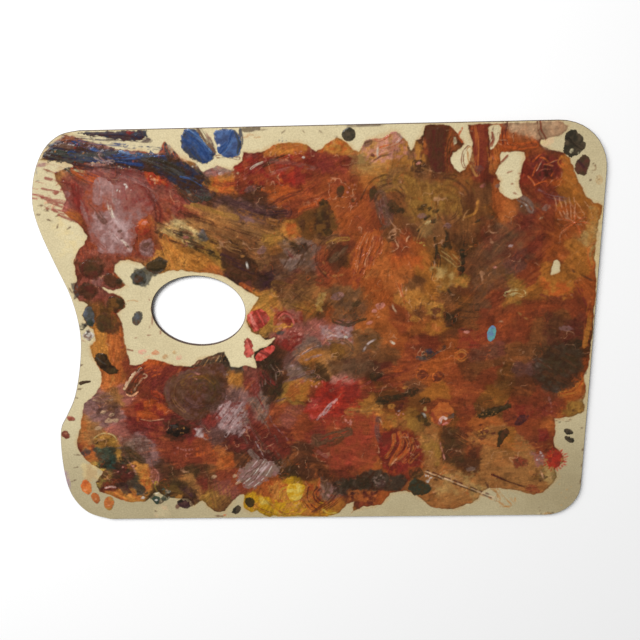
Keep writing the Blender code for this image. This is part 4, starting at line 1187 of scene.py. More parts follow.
def mark_upper_right():
    """Runs, drips and dark spots from the middle of the top edge to the right."""
    area("orange", "gold", [(3, 140), (30, 138), (31, 131), (4, 130)], 3, 0.7, 2)
    area("brick", "wine", [(2, 130), (30, 129), (30, 110), (2, 112)], 4, 0.6)
    area("pink", "gold", [(32, 144), (60, 146), (62, 132), (50, 124), (34, 126)], 4, 0.7, 2.5)
    sweep("mauve", "grey_umber", 2.4, [(31, 138), (34, 137), (38, 139)], 0.8, 0.3)
    # Pink strokes, each with a glint line along it, a painted highlight.
    for points in (
            [(36, 142), (44, 139), (52, 142)], [(46, 134), (54, 136), (61, 141)],
            [(40, 130), (48, 131), (56, 134)]):
        sweep("pink", "orange", 1.2, points, 0.8, 0.4, 0.25)
        line("glint", 0.5, points, 0.7, 0.15)
    dab("maroon", 40, 129.5, 1.8, 1.4)
    line("ivory", 0.7, [(44, 135), (43.6, 131), (44.4, 127)], 0.8, 0.1)
    sweep("white", "pink", 0.8, [(53, 144), (58, 144.6), (60, 141), (57, 138)], 0.9, 0.3, 0.2)
    specks("umber", 5, 57, 132, 4, 4, 0.7, 81)
    line("umber", 0.7, [(38, 123), (45, 128), (53, 130)], 0.8)
    sweep("gold", "tan", 4, [(30, 120), (46, 120), (64, 122)], 0.7, 0.4)
    area("dusky_rose", "grey_umber", [(65, 134), (71, 134), (70, 124), (65, 125)], 1.5, 0.7)
    dab("dark_umber", 72, 121, 5, 4.4, 10, 0.95, 0.35)
    dab("pink", 71.4, 123.4, 1.6, 0.7, 20, 0.9, 0.1)
    line("maroon", 0.9, [(72.4, 138), (73.4, 132), (72.8, 126)], 0.85, 0.1)
    area("orange_brown", "rust", [(75, 141), (79, 141), (79, 128), (75, 129)], 1.5, 0.8)
    dab("glint", 72, 140, 1.2, 0.6)
    sweep("glint", "tan", 0.7, [(74, 120), (80, 118), (87, 116.6)], 0.85, 0.3, 0.1)
    sweep("orange_brown", "rust", 3.4, [(96, 149), (95, 142), (92, 134), (93, 118)], 0.85, 0.35)
    dab("cream", 96, 138, 1.0, 2.2)
    sweep("dark_mauve", "maroon", 2.2, [(113, 136), (113.6, 126), (112.6, 117)], 0.7, 0.4)
    line("umber", 0.8, [(105, 133), (102, 130), (101.5, 124), (103, 121)], 0.85)
    line("umber", 0.7, [(119, 122), (123, 121), (127, 122), (132, 127)], 0.85)
    sweep("amber", "orange_brown", 4.5, [(121, 137), (122, 128), (124, 118)], 0.7, 0.4)
    sweep("rust", "orange", 2.4, [(131, 134), (140, 133), (150, 134)], 0.8, 0.35)
    sweep("rust", "maroon", 1.6, [(129, 149), (129, 143), (130, 136)], 0.85, 0.35)
    area("brick", "burnt_orange", [(6, 118), (44, 116), (42, 78), (8, 76)], 5, 0.55, 6)
    specks("pink", 7, 27, 103, 8, 8, 0.9, 83)
    specks("olive", 5, 28, 104, 14, 6, 1.4, 85)
    line("maroon", 0.8, [(11, 85), (12.6, 83.6), (12, 80)], 0.9)
    area("umber", "olive", [(0, 79), (8, 79), (8, 73), (0, 73)], 2, 0.7)
    area("ochre", "tan_brown", [(42, 119), (62, 118), (62, 105), (44, 105)], 4, 0.7)
    sweep("mauve", "grey_umber", 4.5, [(45, 102), (47, 93), (50, 84)], 0.75, 0.4)
    dab("olive", 54.5, 93, 4, 5.4, 20, 0.85)
    area("brown", "umber", [(60, 120), (100, 120), (120, 100), (112, 76), (84, 60), (64, 76), (56, 100)], 8,
        0.5, 6)
    dab("green_black", 60, 91, 2.4, 1.8)
    dab("grey_umber", 47, 79, 2.6, 1.6, 30)
    for radius, paint in ((9, "umber"), (13, "brown"), (17, "tan"), (21, "umber"), (25, "ochre")):
        sweep(paint, "umber", 0.9, arc(88, 92, radius, 20, 95), 0.7, 0.6, 0.12)
        sweep(paint, "dark_umber", 0.8, arc(52, 96, 0.8 * radius, 30, 170), 0.6, 0.6, 0.12)
    area("olive_gold", "ochre", [(62, 113), (100, 111), (102, 86), (66, 84)], 6, 0.6)
    for x, y, wide, tall in (
            (75, 93, 3.4, 2), (78, 86, 2.6, 1.6), (83, 83, 2.4, 1.6), (84, 90.5, 2.6, 1.4),
            (80, 92, 1.8, 1.4), (93, 66, 2.4, 3.4), (90, 65, 1.4, 1.8), (104, 60, 2.4, 3),
            (114, 83, 3, 1.2), (72, 77, 1.6, 1.2)):
        dab("green_black", x, y, wide, tall, 25, 0.9, 0.2)
    dab("mauve", 74, 87, 2.6, 1.8, 0, 0.8)
    dab("mauve", 92, 80, 2.4, 2.0, 0, 0.8)
    dab("yellow_cream", 79, 82, 2.4, 1.2, 20, 0.7)
    for turn in range(3):
        line("tan", 0.6, [(69 + 2 * turn, 68 + turn), (71 + 3 * turn, 77), (80, 85 - 2 * turn)], 0.7, 0.15)
    specks("pale_yellow", 6, 74, 66, 4, 3, 0.7, 87)


def mark_wrinkles():
    """The skins that dried into folds, each with a painted highlight along the crests."""
    wrinkles("glint", 55, [(50, 82), (66, 84), (70, 66), (58, 58), (50, 62)], 3.2, 0.8, 0.3)
    wrinkles("orange", -50, [(146, 130), (168, 128), (178, 118), (170, 104), (150, 106)], 3.6, 0.7, 0.3)
    wrinkles("tan", -40, [(160, 128), (192, 122), (196, 98), (168, 98)], 4.0, 0.45, 0.2)
    wrinkles("glint", -60, [(164, 98), (194, 96), (194, 70), (170, 68)], 4.4, 0.6, 0.25)
    wrinkles("tan", 60, [(26, 54), (52, 54), (72, 40), (70, 16), (28, 24)], 3.6, 0.5, 0.22)
    wrinkles("pink", 60, [(32, 144), (60, 144), (64, 124), (34, 122)], 3.0, 0.4, 0.2)
    wrinkles("dusky_rose", 15, [(68, -22), (82, -22), (82, -40), (68, -40)], 3.0, 0.5, 0.2)
    wrinkles("tan", 20, [(-150, -22), (-126, -18), (-124, -34), (-148, -40)], 3.0, 0.5, 0.2)
    wrinkles("tan_brown", -20, [(84, 62), (118, 62), (118, 30), (84, 34)], 4.0, 0.35, 0.18)
    wrinkles("dusky", 30, [(-66, 70), (-30, 68), (-4, 50), (-30, 42), (-64, 48)], 3.4, 0.3, 0.15)


def mark_right():
    """The ambers and umbers of the right edge above the middle."""
    area("maroon", "wine", [(147, 126), (158, 129), (169, 124), (168, 112), (156, 108), (148, 114)], 3,
        0.75, 3)
    area("dark_umber", "wine", [(151, 125), (164, 125), (166, 116), (154, 112)], 3, 0.7, 2)
    # Short strokes over the dark blob; the pale and orange ones are painted highlights on its wrinkles.
    for x, y, reach, turn, paint in (
            (154, 120, 4, 60, "ivory"), (163, 122, 4, 20, "peach"), (158, 117, 3, 10, "pink"),
            (163, 109, 4, 40, "glint"), (149, 110, 4, -50, "glint"), (153, 126, 5, 40, "orange"),
            (160, 112, 4, 25, "peach"), (169, 112, 5, 55, "tan"), (160, 120, 3, -10, "glint"),
            (151, 117, 4, 70, "rust"), (165, 116, 4, 50, "orange"), (157, 124, 3, -30, "tan"),
            (155, 108, 4, 20, "orange"), (166, 126, 4, -10, "rust")):
        part_x = reach * math.cos(math.radians(turn))
        part_y = reach * math.sin(math.radians(turn))
        sweep(paint, "orange", 0.55, [(x - part_x, y - part_y), (x, y + 0.6), (x + part_x, y + part_y)],
            0.9, 0.5, 0.3)
    sweep("orange", "amber", 4, [(170, 122), (182, 113), (192, 102)], 0.7, 0.35)
    sweep("crimson", "mauve", 3, [(154, 104), (162, 101), (172, 98)], 0.75, 0.4)
    sweep("slate", "grey_lilac", 2.6, [(142, 98), (147, 95), (150, 90)], 0.8, 0.35)
    line("white", 0.5, [(142.6, 92), (145, 94), (147.6, 92.6)], 0.8)
    dab("grey_lilac", 160, 91, 3.4, 1.8, 20, 0.7)
    for x, y in ((188, 84), (174, 78), (172, 73), (185, 73), (180, 88), (192, 79), (169, 83)):
        sweep("peach", "orange", 0.7, [(181, 80), (0.5 * (181 + x), 0.5 * (80 + y) + 0.8), (x, y)], 0.85,
            0.45, 0.3)
    # Glint lines along the folds, painted highlights.
    for step in range(5):
        line("glint", 0.4, [(165 + 3.4 * step, 99), (168 + 3 * step, 91), (172 + 2 * step, 84)], 0.55, 0.15)
    dab("peach", 157, 84, 1.6, 0.8, 30)
    dab("pale_lilac", 137, 65, 1.4, 0.9)
    area("grey_umber", "red_brown", [(118, 84), (150, 84), (168, 66), (160, 52), (118, 52)], 7, 0.45, 8)
    line("gold", 0.9, [(103, 85), (109, 87), (112, 90), (113, 98)], 0.8, 0.12)
    line("tan", 0.5, [(106, 66), (108.6, 64.6), (111, 65)], 0.85, 0.1)
    dab("dusky_rose", 116, 107, 1.8, 1.2, 20)
    dab("grey_lilac", 127, 107, 2.6, 1.4, 0, 0.75)
    area("pale_ochre", "gold", [(190, 92), (197, 88), (198, 52), (191, 54)], 3, 0.55)
    sweep("amber", "orange", 3, [(196, 66), (192, 58), (194, 50)], 0.6, 0.4)
    area("green_black", "umber", [(88, 60), (97, 58), (97, 50), (88, 50)], 3, 0.3)
    sweep("olive_gold", "pale_ochre", 3, [(88, 62), (94, 58), (100, 52)], 0.7, 0.45)
    for x, low, high, paint in (
            (84, 54, 71, "dark_umber"), (86.4, 50, 60, "maroon"), (92, 70, 78, "umber"),
            (103.4, 44, 62, "green_black"), (105, 66, 74, "umber"), (82.6, 42, 54, "umber")):
        sweep(paint, "green_black", 1.5, [(x, low), (x + 0.8, 0.5 * (low + high)), (x - 0.6, high)], 0.9,
            0.4, 0.15)
    line("glint", 0.5, [(83.5, 50), (83.9, 53), (83.4, 56)], 0.8, 0.1)
    area("umber", "dark_umber", [(10, 68), (21, 68), (23, 54), (14, 47), (9, 54)], 3, 0.75, 3)
    sweep("olive", "grey_umber", 2.4, [(11, 57), (16, 61), (22, 66)], 0.85, 0.4)
    sweep("tan", "ochre", 1.6, [(9, 69), (16, 71), (23, 71.6)], 0.8, 0.4)
    area("orange", "burnt_orange", [(50, 60), (74, 60), (76, 50), (52, 50)], 4, 0.6)
    sweep("yellow_cream", "orange", 0.9, [(103.6, 84), (104.8, 88), (107.6, 91)], 0.7, 0.5)


def mark_middle_left():
    """Lobes, columns and streaks around the finger notch and under the thumb hole."""
    sweep("gold", "amber", 4, [(-161, 10), (-160, -4), (-157, -18)], 0.75, 0.35)
    sweep("orange_brown", "burnt_orange", 4.5, [(-150, 4), (-151, -14), (-152, -32)], 0.75, 0.4)
    sweep("burnt_orange", "wine", 3, [(-144, 24), (-146, 10), (-146, -4)], 0.6, 0.5)
    sweep("gold", "tan", 1.6, [(-158, -22), (-154, -30), (-156, -38)], 0.7, 0.5)
    sweep("mauve", "tan", 3, [(-172, -43), (-164, -46), (-156, -46)], 0.8, 0.4)
    sweep("tan", "peach", 1.0, [(-170, -48), (-163, -49), (-156, -48)], 0.7, 0.6)
    area("red_brown", "wine", [(-136, -18), (-106, -20), (-104, -50), (-134, -50)], 6, 0.6)
    sweep("orange", "scarlet", 2.4, [(-124, -42), (-119, -46), (-113, -47)], 0.75, 0.4)
    for x, y, length in ((-127, -22, 4), (-124, -25, 5), (-121, -28, 4), (-129, -19, 3)):
        line("orange", 0.6, [(x - length, y - 2), (x, y), (x + length, y + 0.6)], 0.8, 0.12)
    line("peach", 0.5, [(-132, -29), (-130, -27.4), (-128, -29), (-130, -30.6), (-132, -29)], 0.8, 0.12)
    specks("glint", 8, -142, -44, 6, 4, 0.6, 91)
    area("orange_brown", "tan", [(-101, 50), (-60, 50), (-60, 45), (-100, 44)], 2.5, 0.8)
    line("glint", 0.5, [(-68, 45), (-66, 44.6), (-64, 44)], 0.9, 0.1)
    area("dark_umber", "plum", [(-68, 50), (-32, 52), (-30, 38), (-50, 36), (-66, 42)], 4, 0.8)
    sweep("orange", "burnt_orange", 1.8, [(-54, 40), (-49, 37), (-44, 35)], 0.8, 0.35)
    area("gold", "ochre", [(-48, 35), (-30, 36), (-28, 20), (-42, 19)], 4, 0.8, 3)
    sweep("tan", "olive_brown", 3, [(-30, 40), (-16, 36), (-2, 28)], 0.75, 0.45)
    sweep("ochre", "umber", 2.4, [(-26, 28), (-14, 24), (-2, 20)], 0.75, 0.5)
    sweep("umber", "brown", 3, [(-24, 47), (-10, 44), (2, 42)], 0.6, 0.4)


def mark_middle():
    """Pinks, smears and streaks to the right of the thumb hole."""
    area("dusky_rose", "crimson", [(-33, 22), (-12, 21), (-8, -4), (-30, -8)], 4, 0.75, 3)
    sweep("ochre", "gold", 2.4, [(-30, 5), (-25, 8), (-20, 8.6)], 0.85, 0.35)
    dab("slate", -27, 3, 2.6, 1.8, 10)
    sweep("dusky_rose", "dusky", 3.4, [(-20, 2), (-15, 5), (-10, 4)], 0.8, 0.35)
    sweep("pink", "rose", 0.7, [(-28, 14), (-24, 18), (-19, 15), (-17, 10)], 0.8, 0.4, 0.25)
    sweep("rose", "crimson", 1.4, [(-31, 10), (-30, 16), (-24, 20), (-17, 17)], 0.7, 0.45, 0.2)
    dab("crimson", -22, 11.6, 3.4, 2.6, -20, 0.9)
    dab("pink", -13, 2, 1.6, 1.2)
    specks("pink", 10, -22, 0, 10, 9, 0.9, 95)
    sweep("wine", "crimson", 3, [(-26, -6), (-20, -8), (-14, -4)], 0.7, 0.4)
    sweep("dark_umber", "smoke", 5.5, [(-94, -19), (-80, -15), (-67, -15)], 0.85, 0.45, 0.15)
    for step in range(7):
        sweep("cream", "tan", 0.5, [(-93 + 4 * step, -24 + step), (-89 + 4 * step, -18 + step),
                (-86 + 4 * step, -12 + 0.5 * step)], 0.7, 0.75, 0.05)
    dab("black", -68, -16, 3.4, 2.4, 20)
    dab("tan", -67, -7, 2.2, 1.4)
    dab("olive", -46, -11, 2.6, 1.8, 30)
    dab("black", -49, -21, 1.6, 1.4)
    specks("white", 5, -70, -28, 4, 3, 0.8, 97)
    area("smoke", "slate", [(-65, -22), (-57, -21), (-56, -25), (-64, -26)], 1.5, 0.8)
    area("gold", "amber", [(-68, -28), (-58, -28), (-57, -38), (-67, -38)], 3, 0.75)
    area("dark_umber", "green_black", [(-45, -14), (-27, -16), (-25, -44), (-43, -46)], 4, 0.8, 3)
    sweep("maroon", "wine", 2.4, [(-42, -28), (-38, -33), (-33, -38)], 0.85, 0.35)
    for step in range(4):
        sweep("slate", "grey_lilac", 0.8,
            [(-43 + 4 * step, -22), (-40 + 4 * step, -29), (-40 + 4 * step, -37)], 0.7, 0.65, 0.1)
    for x, y, length, paint in (
            (-13, -30, 9, "pale_lilac"), (-16, -26, 7, "lilac"), (-25, -24, 6, "lilac"),
            (-10, -34, 7, "lilac"), (-6, -10, 8, "pale_lilac"), (-9, -5, 7, "grey_lilac"),
            (-20, -33, 6, "mauve"), (-4, -16, 6, "lilac"), (-30, -50, 5, "mauve")):
        sweep(paint, "dark_mauve", 1.1, slant(x, y, length, -0.5, 0.3), 0.85, 0.5, 0.15)
    for step in range(5):
        sweep("lilac", "wine", 0.6,
            [(-51 + 2.2 * step, -30), (-50 + 2 * step, -38), (-48 + 1.8 * step, -49)], 0.5, 0.65, 0.12)
    area("amber", "burnt_orange", [(-25, -36), (-10, -34), (-8, -50), (-24, -50)], 4, 0.75)
    specks("pink", 9, -3, -35, 6, 5, 0.8, 99)
    area("dusky_rose", "lilac", [(-1, 9), (24, 9), (26, -5), (6, -6)], 4, 0.75, 3)
    sweep("white", "lilac", 0.8, [(7, -1), (10, 0.4), (14, 0)], 0.8, 0.5, 0.15)
    dab("white", 20, -1, 1.6, 0.9)
    area("olive_gold", "olive_brown", [(10, -5), (18, -6), (18, -18), (9, -17)], 2.5, 0.85)
    sweep("tan", "grey_umber", 1.8, [(8, -3), (20, -4), (25, -11), (18, -19)], 0.8, 0.35, 0.15)
    area("grey_umber", "olive_brown", [(28, 1), (45, 0), (45, -12), (30, -14)], 4, 0.75)
    line("pale_lilac", 0.8, [(33, -12), (36, -7), (40, -4), (45, -2)], 0.85, 0.15)
    area("grey_umber", "umber", [(8, -19), (44, -21), (46, -30), (10, -31)], 4, 0.75)
    for x, y in ((18, -34), (22, -37), (26, -34), (16, -39), (35, -38), (12, -41)):
        sweep("pink", "scarlet", 0.8, [(x - 4, y - 2), (x, y), (x + 3, y + 2)], 0.85, 0.45, 0.15)
    area("scarlet", "crimson", [(4, -37), (30, -36), (32, -50), (2, -50)], 4, 0.75)
    dab("green_black", 42, -32, 5, 4, 0, 0.85)
    dab("mauve", 12, 4, 5, 2, 20, 0.6)


def mark_middle_right():
    """Browns, ambers and dark spots between the middle and the right edge."""
    # Glint and tan strands along the folds of the skin, with a glint dab: painted highlights.
    for step in range(5):
        sweep("glint" if step % 2 else "tan", "orange", 0.5,
            [(55 + 1.8 * step, 41 - step), (59 + step, 33 - step), (60 + 1.6 * step, 22 + step)], 0.85, 0.5,
            0.25)
    dab("glint", 64, 33, 0.9, 3, 0)
    line("peach", 0.7, [(54, 24), (55.6, 20), (57, 17)], 0.85, 0.15)
    for x, y, wide, tall in ((45, 22, 3.6, 2), (41, 18.5, 1.8, 1.2), (38, 10, 2.4, 1.2)):
        dab("pink", x, y, wide, tall, 20, 0.75)
    area("grey_umber", "brown", [(10, 35), (34, 35), (36, 12), (12, 10)], 5, 0.75, 3)
    sweep("dark_umber", "olive", 2, [(12, 12), (22, 9), (34, 13)], 0.85, 0.35)
    dab("mauve", 15, 30, 5, 3, 20, 0.75)
    dab("olive", 28, 24, 4, 2.6, 40, 0.8)
    area("pale_ochre", "ochre", [(0, 35), (5, 35), (5, 18), (0, 19)], 2, 0.75)
    line("tan", 0.9, [(4, 49), (8, 46), (12, 45), (20, 46)], 0.75, 0.15)
    line("ivory", 0.9, [(53, -4.6), (55, -6.4), (57, -6)], 0.9, 0.1)
    dab("smoke", 80, -14.6, 5.4, 4.6, 20, 0.95, 0.3)
    dab("navy", 82, -12.6, 2.4, 1.8, 20, 0.8, 0.15)
    sweep("dark_umber", "slate", 1.6, [(73, -18), (80, -19), (88, -14), (92, -10)], 0.85, 0.4, 0.15)
    area("gold", "amber", [(65, 31), (80, 31), (80, 22), (66, 21)], 3, 0.75)
    area("ochre", "gold", [(78, 26), (90, 26), (90, 14), (79, 14)], 3, 0.75)
    dab("maroon", 85, 18, 3.4, 2.8, 20, 0.9, 0.2)
    for x, y, radius, start, paint in (
            (84, 21, 5, 10, "gold"), (84, 21, 7.5, 40, "umber"), (84, 21, 10, 20, "ochre"),
            (84, 21, 12.5, 60, "umber"), (17, 58, 12, 60, "tan"), (17, 58, 14.5, 90, "rust"),
            (17, 58, 17, 70, "dusky"), (92, 92, 8, 200, "umber"), (92, 92, 11, 220, "tan")):
        sweep(paint, "umber", 0.9, arc(x, y, radius, start, start + 170), 0.7, 0.6, 0.15)
    dab("gold", 70, 12, 4, 2.2, -10, 0.8)
    area("amber", "orange_brown", [(78, 11), (90, 10), (90, 1), (78, 2)], 3, 0.75)
    area("green_black", "umber", [(92, 17), (100, 16), (100, 6), (92, 6)], 2.5, 0.85)
    area("olive_gold", "pale_ochre", [(83, 50), (98, 50), (100, 37), (86, 35)], 4, 0.7)
    line("green_black", 0.9, [(85, 36), (90, 35), (95, 33)], 0.9, 0.1)
    line("green_black", 1.1, [(92, 38), (95, 32), (98, 26)], 0.9, 0.1)
    for x, y in ((76, -31), (88, -33)):
        dab("maroon", x, y, 4.4, 4.6, 30, 0.85, 0.25)
        for reach, turn in ((4.6, 30), (3.8, 140), (4.2, 250)):
            sweep("gold", "orange", 0.6, arc(x, y, reach, turn, turn + 80), 0.85, 0.45, 0.2)
    for x, y, length in ((52, -33, 8), (56, -38, 7), (48, -42, 6), (60, -29, 5)):
        sweep("maroon", "rust", 1.4, [(x - length, y - 2), (x, y), (x + length, y + 1.6)], 0.8, 0.4)
    dab("green_black", 69, -45, 5, 3.2, 30, 0.9, 0.2)
    dab("gold", 64, -41, 2.4, 1.4, 20)
    for step in range(3):
        line("orange", 0.6, [(54, -24 - 2 * step), (58, -24.6 - 2 * step), (63, -23.6 - 2 * step)], 0.8,
            0.12)
    dab("green_black", 103, 48, 3, 2.4, 0, 0.9, 0.2)
    area("gold", "ochre", [(100, 45), (108, 44), (108, 35), (100, 35)], 3, 0.8)
    area("grey_umber", "brown", [(110, 51), (138, 50), (138, 30), (112, 30)], 6, 0.6, 3)
    dab("pink", 126.5, 49.5, 1.6, 1.0, 0, 0.9)
    area("amber", "orange", [(160, 41), (179, 40), (180, 29), (162, 27)], 4, 0.75)
    sweep("umber", "rust", 1.0, [(160, 29), (170, 26), (181, 28)], 0.8, 0.35)
    line("umber", 0.8, [(180, 47), (187, 43), (197, 38)], 0.9, -0.05)
    for shift in (0, 2.2):
        line("wine", 0.6, [(183 + shift, 38), (191 + shift, 24.6), (198 + 0.4 * shift, 11)], 0.85, -0.05)
    sweep("pale_ochre", "yellow_cream", 3, [(136, 30), (141, 31.6), (147, 30)], 0.8, 0.6, 0.1)
    for step in range(3):
        sweep("olive", "umber", 1.0, [(100, 24 - 5 * step), (109, 22 - 5 * step), (118, 23 - 5 * step)],
            0.8, 0.45)
    line("peach", 0.6, [(131, 9), (132.6, 9.4), (134, 8.6)], 0.85)
    line("tan", 0.7, [(144, 16), (148, 13), (152, 10)], 0.85, 0.1)
    area("crimson", "brick", [(103, 4), (122, 3), (122, -11), (104, -12)], 4, 0.7)
    sweep("umber", "maroon", 0.9, [(101, 2.6), (105, 3.4), (109, 3)], 0.85, 0.35)
    dab("pink", 108, 1.5, 1.8, 0.8)
    for step in range(3):
        sweep("dusky", "umber", 0.8, [(110, -8 - 2 * step), (124, -8.6 - 2 * step), (138, -8 - 2 * step)],
            0.5, 0.6, 0.08)
    area("grey_umber", "umber", [(110, -12), (132, -9), (134, -20), (112, -22)], 4, 0.5, 3)
    dab("olive_brown", 135, -40, 6, 4, 10, 0.6)


def mark_right_edge():
    """The dark patches and runny edge of the film at the right, above the bare strip."""
    area("umber", "maroon", [(165, 13), (196, 12), (196, -12), (166, -11)], 5, 0.65)
    dab("mauve", 180, 3, 4.4, 2, -10, 0.7)
    dab("green_black", 190, -9, 4, 3, 0, 0.85)
    area("grey_umber", "slate", [(158, -20), (168, -20), (168, -28), (158, -28)], 3, 0.7)
    sweep("smoke", "slate", 2.4, [(167, -41), (172, -43), (177, -45)], 0.7, 0.45)
    area("dark_umber", "green_black",
        [(158, -10), (186, -6), (196, -22), (190, -38), (174, -46), (158, -38)], 7, 0.55, 5)
    dab("dark_mauve", 155.6, -29, 3, 4, 10, 0.7)
    dab("grey_lilac", 162, -24, 3, 2.4, 10, 0.6)
    sweep("orange", "amber", 2.6, [(196.5, 21), (196, 6), (194.6, -10)], 0.8, 0.35)
    sweep("orange", "amber", 3, [(194, -38), (190, -46), (180, -49)], 0.8, 0.35)
    sweep("gold", "orange", 1.4, [(101, -15), (105, -12.6), (109, -16), (105, -20), (101, -17)], 0.8, 0.35)
    sweep("orange", "burnt_orange", 2.6, [(186, 38), (192, 30), (197, 20)], 0.7, 0.4)
    dab("pink", 172, -54, 1.0, 4, 15, 0.7)
    specks("pink", 6, 172, -58, 5, 6, 0.6, 101)
    area("wine", "rust", [(160, -56), (178, -56), (178, -68), (162, -68)], 4, 0.6)
    area("crimson", "rust", [(146, -56), (158, -56), (158, -66), (148, -66)], 3, 0.6)
    area("umber", "rust", [(160, -48), (180, -48), (180, -56), (162, -56)], 4, 0.5)


def mark_lower_left():
    """Patches and touches in the lower left corner."""
    area("mauve", "umber", [(-174, -50), (-152, -52), (-150, -70), (-166, -70)], 5, 0.6, 3)
    area("dark_mauve", "umber", [(-172, -42), (-156, -44), (-150, -58), (-168, -60)], 4, 0.6, 2)
    for x, y, wide in ((-160, -65, 3), (-155, -65, 2.4), (-169, -71, 3), (-164, -58, 2.4), (-158, -60, 2)):
        dab("peach", x, y, wide, 0.55 * wide, 15, 0.75, 0.3)
    area("orange_brown", "tan", [(-186, -60), (-178, -60), (-177, -90), (-184, -90)], 3, 0.75)
    area("orange", "crimson", [(-141, -50), (-119, -48), (-116, -62), (-138, -66)], 3, 0.8, 5)
    line("glint", 0.5, [(-137, -64), (-128, -65.4), (-117, -64)], 0.6, 0.3)
    area("olive_gold", "ochre", [(-174, -77), (-157, -76), (-156, -91), (-172, -92)], 2, 0.85, 2.5)
    line("yellow_cream", 0.5, [(-174, -80), (-167, -75.6), (-158, -77), (-155.6, -84)], 0.75, 0.15)
    dab("dark_umber", -172.5, -83, 2, 1.6)
    dab("grey_lilac", -154, -88, 2.4, 1.2, 0, 0.85)
    area("grey_lilac", "umber", [(-152, -80), (-131, -80), (-130, -98), (-148, -98)], 5, 0.65, 3)
    area("smoke", "umber", [(-154, -88), (-144, -88), (-136, -100), (-146, -100)], 2.5, 0.75, 1.5, 0.1)
    area("dark_umber", "maroon", [(-178, -110), (-164, -100), (-146, -102), (-145, -124), (-176, -125)], 3,
        0.7, 2.5)
    area("dark_green", "green", [(-175, -86), (-159, -86), (-158, -107), (-172, -106)], 2.5, 0.85, 2.5)
    dab("slate", -181, -91, 4, 3, 20, 0.85)
    dab("black", -153, -98, 3, 2.2, 20)
    sweep("olive_brown", "olive", 3.4, [(-150, -89), (-144, -94), (-138, -99)], 0.8, 0.35)
    for x, y, wide in ((-153, -105, 3.6), (-148, -110, 3.4), (-157, -109, 2.4), (-145, -104, 2.6)):
        dab("maroon", x, y, wide, 0.75 * wide, 25, 0.9, 0.25)
        dab("pink", x - 0.5, y + 0.8, 0.9, 0.5, 20, 0.75, 0.1)
    sweep("grey_lilac", "pink", 0.9, [(-148, -100), (-145, -105), (-144, -110)], 0.75, 0.45)
    area("orange", "gold", [(-142, -106), (-133, -106), (-132, -126), (-141, -124)], 3, 0.6, 2)
    area("orange_brown", "gold", [(-170, -125), (-141, -124), (-140, -133), (-168, -133)], 2.5, 0.7, 3)
    for x, y, turn in (
            (-174, -116, 30), (-168, -119, -40), (-171, -121, 70), (-164, -115, -10), (-162, -122, 20),
            (-175, -122, -70), (-167, -123, 0)):
        dab("maroon", x, y, 3.6, 1.1, turn, 0.9, 0.25)
    sweep("white", "pink", 0.8, [(-169, -122), (-165, -121), (-161, -121.6)], 0.85, 0.35, 0.15)
    dab("tan", -167, -113, 2.6, 1.6, 30)
    line("dark_umber", 0.8, [(-180, -123), (-178, -120), (-175.6, -118)], 0.9, 0.15)
    area("smoke", "plum", [(-159, -118), (-150, -118), (-149, -126), (-157, -127)], 2, 0.85, 2)
    area("dark_green", "slate", [(-147, -117), (-139, -120), (-138, -131), (-145, -128)], 2, 0.9)
    dab("white", -140, -131, 1.4, 1.0)
    for ring in (
            [(-133, -113), (-129.6, -106), (-126, -112), (-129, -120), (-133, -113)],
            [(-131.6, -113), (-129.6, -109), (-127.6, -112.6), (-129.4, -117)]):
        line("pink", 0.7, ring, 0.75, 0.15)
    sweep("yellow", "pale_yellow", 1.4, [(-128.6, -118), (-129, -122), (-128, -126)], 0.8, 0.3)
    specks("teal", 4, -122, -125, 5, 3, 0.8, 103)
    specks("ivory", 7, -121, -127, 6, 4, 1.0, 105)
    area("green_black", "dark_green", [(-132, -130), (-116, -129), (-115, -136), (-131, -136)], 2.5, 0.9, 2)
    dab("green", -130, -130, 2.4, 1.8)
    dab("white", -130, -133, 1.2, 0.8)
    line("maroon", 1.4, [(-101.6, -126), (-102, -131), (-101.4, -137)], 0.85)
    specks("pink", 12, -106, -91, 8, 5, 0.9, 107)
    area("rust", "red_brown", [(-122, -84), (-94, -84), (-94, -100), (-120, -100)], 5, 0.5)
    area("umber", "olive", [(-128, -102), (-112, -103), (-112, -117), (-126, -115)], 4, 0.5)
    area("dark_umber", "maroon",
        [(-121, -64), (-110, -61), (-96, -66), (-97, -82), (-112, -85), (-120, -78)], 5, 0.85, 3)
    area("dark_umber", "olive", [(-132, -121), (-112, -114), (-104, -118), (-112, -132), (-130, -131)], 3,
        0.7, 3)
    area("dark_umber", "plum", [(-109, -124), (-98, -122), (-96, -136), (-108, -138)], 3, 0.8, 3)
    for x, y, wide, tall, turn, paint in (
            (-166, -101, 5, 2.6, 40, "green_black"), (-158, -103, 4, 2.6, -20, "dark_umber"),
            (-152, -113, 5, 3.4, 30, "maroon"), (-146, -119, 5, 3.6, -40, "smoke"),
            (-158, -119, 5, 3, 10, "dark_umber"), (-168, -110, 4, 2.4, 50, "umber"),
            (-172, -103, 3, 2, 0, "dark_umber"), (-141, -124, 4, 3, -60, "smoke"),
            (-148, -98, 4, 2.4, 20, "green_black"), (-160, -95, 3, 4, 0, "dark_green")):
        dab(paint, x, y, wide, tall, turn, 0.9, 0.3)


